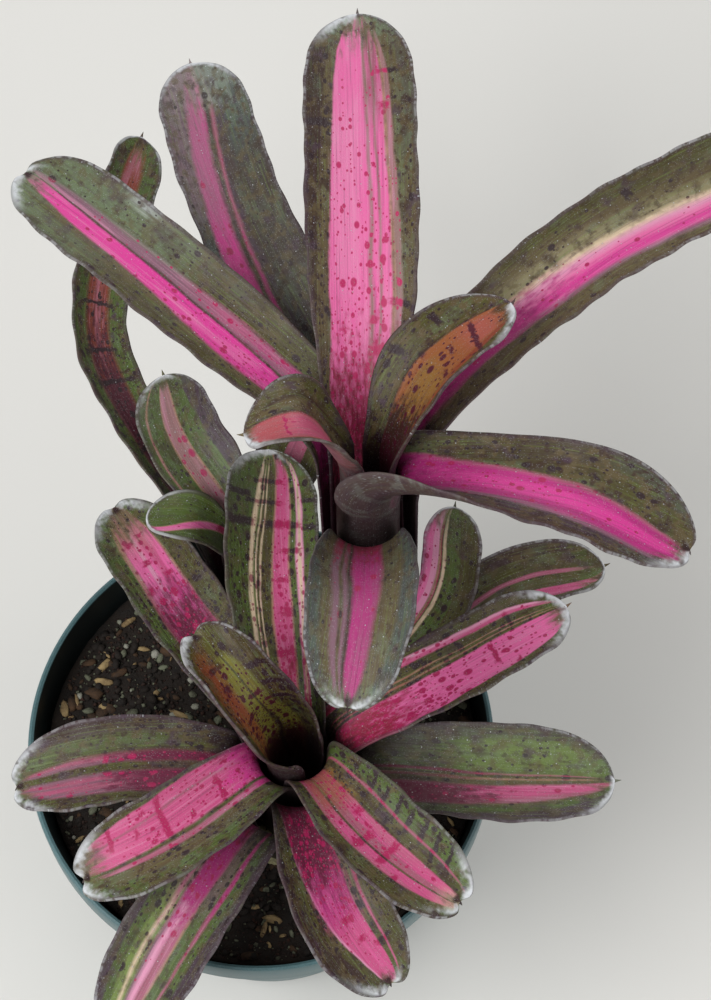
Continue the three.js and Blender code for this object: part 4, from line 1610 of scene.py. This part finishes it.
# Hot pink that pales to cream, then fawn and khaki.
TALL_07 = BladeFinish(
    ((-1, T.KHAKI), (-0.5, T.MAUVE), (-0.38, T.HOT), (-0.14, T.PINK), (0.0, T.BLUSH), (0.12, T.CREAM),
     (0.24, T.FAWN), (0.5, T.KHAKI), (0.75, T.OLIVE)),
    base=T.MAGENTA, base_to=0.34, drift=-0.8, gather=0.0, spots=0.2, soft=0.06,
    washes=(Wash(T.MAGENTA, -0.4, 0.3, -0.1, 0.25, 0.6),), bars=(Bar(0.7, 0.5, 0.78, 1.4),),
)
# Scurfy and grey, with one hot pink stripe.
TALL_08 = BladeFinish(
    ((-1, T.GREY), (-0.1, T.PLUM), (0.12, T.DUSTY), (0.2, T.BROWN), (0.34, T.HOT), (0.78, T.GREY)),
    tip=T.SILVER, tip_from=0.88, base=T.MAGENTA, base_to=0.36, drift=-0.7, silver=0.24, spots=0.3, mottle=0.7,
    frost=(-1.0, 1.0, 1.4), soft=0.03, streak=T.MAUVE,
    washes=(Wash(T.MAUVE, 0.1, 1.0, 0.6, 1.1, 0.6), Wash(T.BROWN, -1.1, -0.1, -0.1, 0.75, 0.75)),
)
# Moss green with a pink middle line.
BACK_01 = BladeFinish(
    ((-1, T.MOSS), (-0.02, T.TAN), (0.03, T.PINK), (0.3, T.TAN), (0.35, T.MOSS)),
    base_to=0.1, spots=0.4, drift=1.6, gather=0.0, mottle=0.3,
)
# A buff centre between moss green margins.
BACK_02 = BladeFinish(
    ((-1, T.PLUM), (-0.56, T.MOSS), (-0.06, T.TAN), (0.0, T.BUFF), (0.36, T.TAN), (0.4, T.MOSS), (0.8, T.TAN),
     (0.86, T.MOSS)),
    base=T.DUSTY, base_to=0.0, silver=0.25, spots=0.5, frost=(-0.6, 0.9, 2.1),
)
# Plain: its neighbours cover it.
BACK_03 = BladeFinish(((-1, T.OLIVE), (-0.3, T.DUSTY), (0.3, T.OLIVE)), spots=0.3)
# Dark, with maroon bands on terracotta.
BACK_04 = BladeFinish(
    ((-1, T.MOSS), (-0.4, T.TERRACOTTA), (0.4, T.MOSS)),
    tip=T.MOSS, tip_from=0.97, base=T.WINE, base_to=0.45, spots=0.8, mottle=0.9, mark=T.MAROON, soft=0.04,
    bars=(Bar(0.52, -0.6, 0.6), Bar(0.45, -0.8, 0.5), Bar(0.3, -0.9, 0.5), Bar(0.62, -0.6, 0.6, 0.6)),
)

FRONT = Rosette(
    "front", at=(9, -13), lean=2, lean_to=90, flare=0.07, seed=100, spine=0.8,
    leaves=(
        Leaf(147, 40, (155, 12, 60), (140, 31, 68), 25, FRONT_01, cup=8.5, wrap=2.6, notch=1.7),
        Leaf(-48, 38, (-50, 34, 50), (-45, 56, 47), 23.5, FRONT_02, notch=1.9),
        Leaf(-140, 36, (-140, 38, 49), (-146, 60, 45), 23, FRONT_03, notch=2),
        Leaf(97, 33, (98.2, 43.2, 46.5), (95.3, 78.4, 40), 25.5, FRONT_04, cup=15, roll=14),
        Leaf(25, 33, (26, 43, 47), (28, 73, 46), 20, FRONT_05),
        Leaf(-76, 31, (-74, 40, 38), (-67, 60, 32), 25, FRONT_06, notch=1.9),
        Leaf(126, 27, (125.8, 45.3, 35), (124, 82.9, 28), 22, FRONT_07, cup=15, notch=1.0),
        Leaf(46, 26, (47.3, 50.9, 37), (59.4, 76.1, 33.5), 14.5, FRONT_08, cup=16),
        Leaf(-177, 25, (-178, 42, 34), (-175, 68, 30), 24, FRONT_09, cup=15, notch=1.5),
        Leaf(-6, 24, (-5, 49, 33), (-3, 76, 30), 26, FRONT_10, cup=18, slot=Slot.SILVER_LEAF),
        Leaf(-125, 22, (-125, 47, 27), (-123, 77, 20), 24, FRONT_11, cup=16),
        Leaf(44, 21, (41.9, 69.1, 30), (34.7, 91.9, 28), 17, FRONT_12, cup=16),
    ),
)
TALL = Rosette(
    "tall", at=(27.5, 20), lean=22, lean_to=94, flare=0.02,
    leaves=(
        Leaf(-165, 77, (-156, 16, 98), (-165, 28, 94), 24, TALL_01, wrap=1.4),
        Leaf(28, 75, (35, 18.8, 95), (32.8, 41.1, 106), 27, TALL_02, cup=15, wrap=1.2),
        Leaf(
            -39, 65, (-14.7, 49.7, 77), (-15.2, 78.2, 67), 28, TALL_03, cup=20, roll=35, wrap=2.1, notch=1.0
        ),
        Leaf(-90, 51, (-91, 41, 71), (-94, 61, 60), 27, TALL_04, cup=18, notch=0.9, slot=Slot.SILVER_LEAF),
        Leaf(91, 67, (90, 48, 112), (90.5, 103, 129), 28.5, TALL_05, cup=22),
        Leaf(127, 65, (141.6, 58.8, 101.5), (140.6, 106.7, 111), 24.5, TALL_06, cup=18, notch=1.3),
        Leaf(45, 62, (41, 69, 99), (36, 125, 108), 25, TALL_07, roll=25),
        Leaf(106, 61, (116, 68, 101), (112, 115, 112), 24, TALL_08, cup=18, slot=Slot.SILVER_LEAF),
    ),
)
BACK = Rosette(
    "back", at=(-1, 34), lean=14, lean_to=100, flare=0.07,
    leaves=(
        Leaf(172, 34, (175, 14, 45), (177.5, 24.5, 46), 15, BACK_01, cup=10),
        Leaf(113, 31, (123.2, 29.4, 47), (117, 47.8, 49), 21, BACK_02, cup=15),
        Leaf(68, 27, (68, 28, 38), (68, 45, 38), 18, BACK_03),
        Leaf(150, 19, (126.6, 65, 51.5), (104.8, 115.2, 62), 16, BACK_04, cup=10),
    ),
)


@dataclass(frozen=True)
class Lamp:
    """A round soft light."""

    name: str
    at: tuple[float, float, float]  # metres
    size: float  # metres across
    watts: float


@dataclass
class Studio:
    """A pale floor, soft lights and the camera."""

    floor_side: float = 5.0  # metres
    lamps: tuple[Lamp, ...] = (
        Lamp("key", (-0.55, -0.35, 0.95), 0.7, 9.5),
        Lamp("fill", (0.8, -0.3, 0.7), 0.9, 3.2),
        Lamp("rim", (0.1, 0.95, 0.6), 0.8, 3.2),
    )
    aim: tuple[float, float, float] = (0.0, 0.03, 0.1)  # metres, the middle of the plant
    glow: float = 0.38  # strength of the white surroundings
    camera_at: tuple[float, float, float] = (23.276, -207.302, 763.219)  # mm
    camera_tilt: float = 22.0  # degrees from straight down
    lens_px: float = 2842.0  # focal length in pixels of a picture that high
    picture_height: float = 1000.0
    sensor: float = 36.0  # mm high

    def ground(self) -> None:
        """Lays a sheet of matt pale paper."""
        far = self.floor_side / 2 / MM
        corners = np.array([(-far, -far, 0), (far, -far, 0), (far, far, 0), (-far, far, 0)], float)
        paper = GrainyFinish("paper_floor", Tone.FLOOR, Tone.FLOOR, 300.0, 1.0, 0.9, 0.01)
        make_piece("floor", corners, [(0, 1, 2, 3)], paper.build())

    def light(self) -> None:
        """Hangs the lamps and lights the surroundings."""
        for lamp in self.lamps:
            data = bpy.data.lights.new(lamp.name, "AREA")
            data.shape, data.size, data.energy = "DISK", lamp.size, lamp.watts
            hung = bpy.data.objects.new(lamp.name, data)
            hung.location = lamp.at
            hung.rotation_euler = (Vector(self.aim) - hung.location).to_track_quat("-Z", "Y").to_euler()
            bpy.context.scene.collection.objects.link(hung)
        world = bpy.data.worlds.new("studio")
        world.use_nodes = True
        background = world.node_tree.nodes["Background"]
        background.inputs["Color"].default_value = (1.0, 1.0, 1.0, 1.0)
        background.inputs["Strength"].default_value = self.glow
        bpy.context.scene.world = world
        bpy.context.scene.view_settings.view_transform = "Standard"

    def film(self) -> None:
        """Sets up the camera."""
        data = bpy.data.cameras.new("camera")
        data.sensor_fit, data.sensor_height = "VERTICAL", self.sensor
        data.lens = self.lens_px * self.sensor / self.picture_height
        camera = bpy.data.objects.new("camera", data)
        camera.location = Vector(self.camera_at) * MM
        camera.rotation_euler = (math.radians(self.camera_tilt), 0, 0)
        bpy.context.scene.collection.objects.link(camera)
        bpy.context.scene.camera = camera

    def build(self) -> None:
        """Makes the floor, the lights and the camera."""
        self.ground()
        self.light()
        self.film()


def main() -> None:
    """Builds the studio, the pot, the potting mix and the three rosettes."""
    logging.basicConfig(level=logging.INFO, format="%(message)s")
    Studio().build()
    Pot().build()
    PottingMix().build()
    horn, pith = Finishes.HORN.value.build(), Finishes.PITH.value.build()
    for rosette in (FRONT, TALL, BACK):
        rosette.build(horn, pith)


if __name__ == "__main__":
    main()
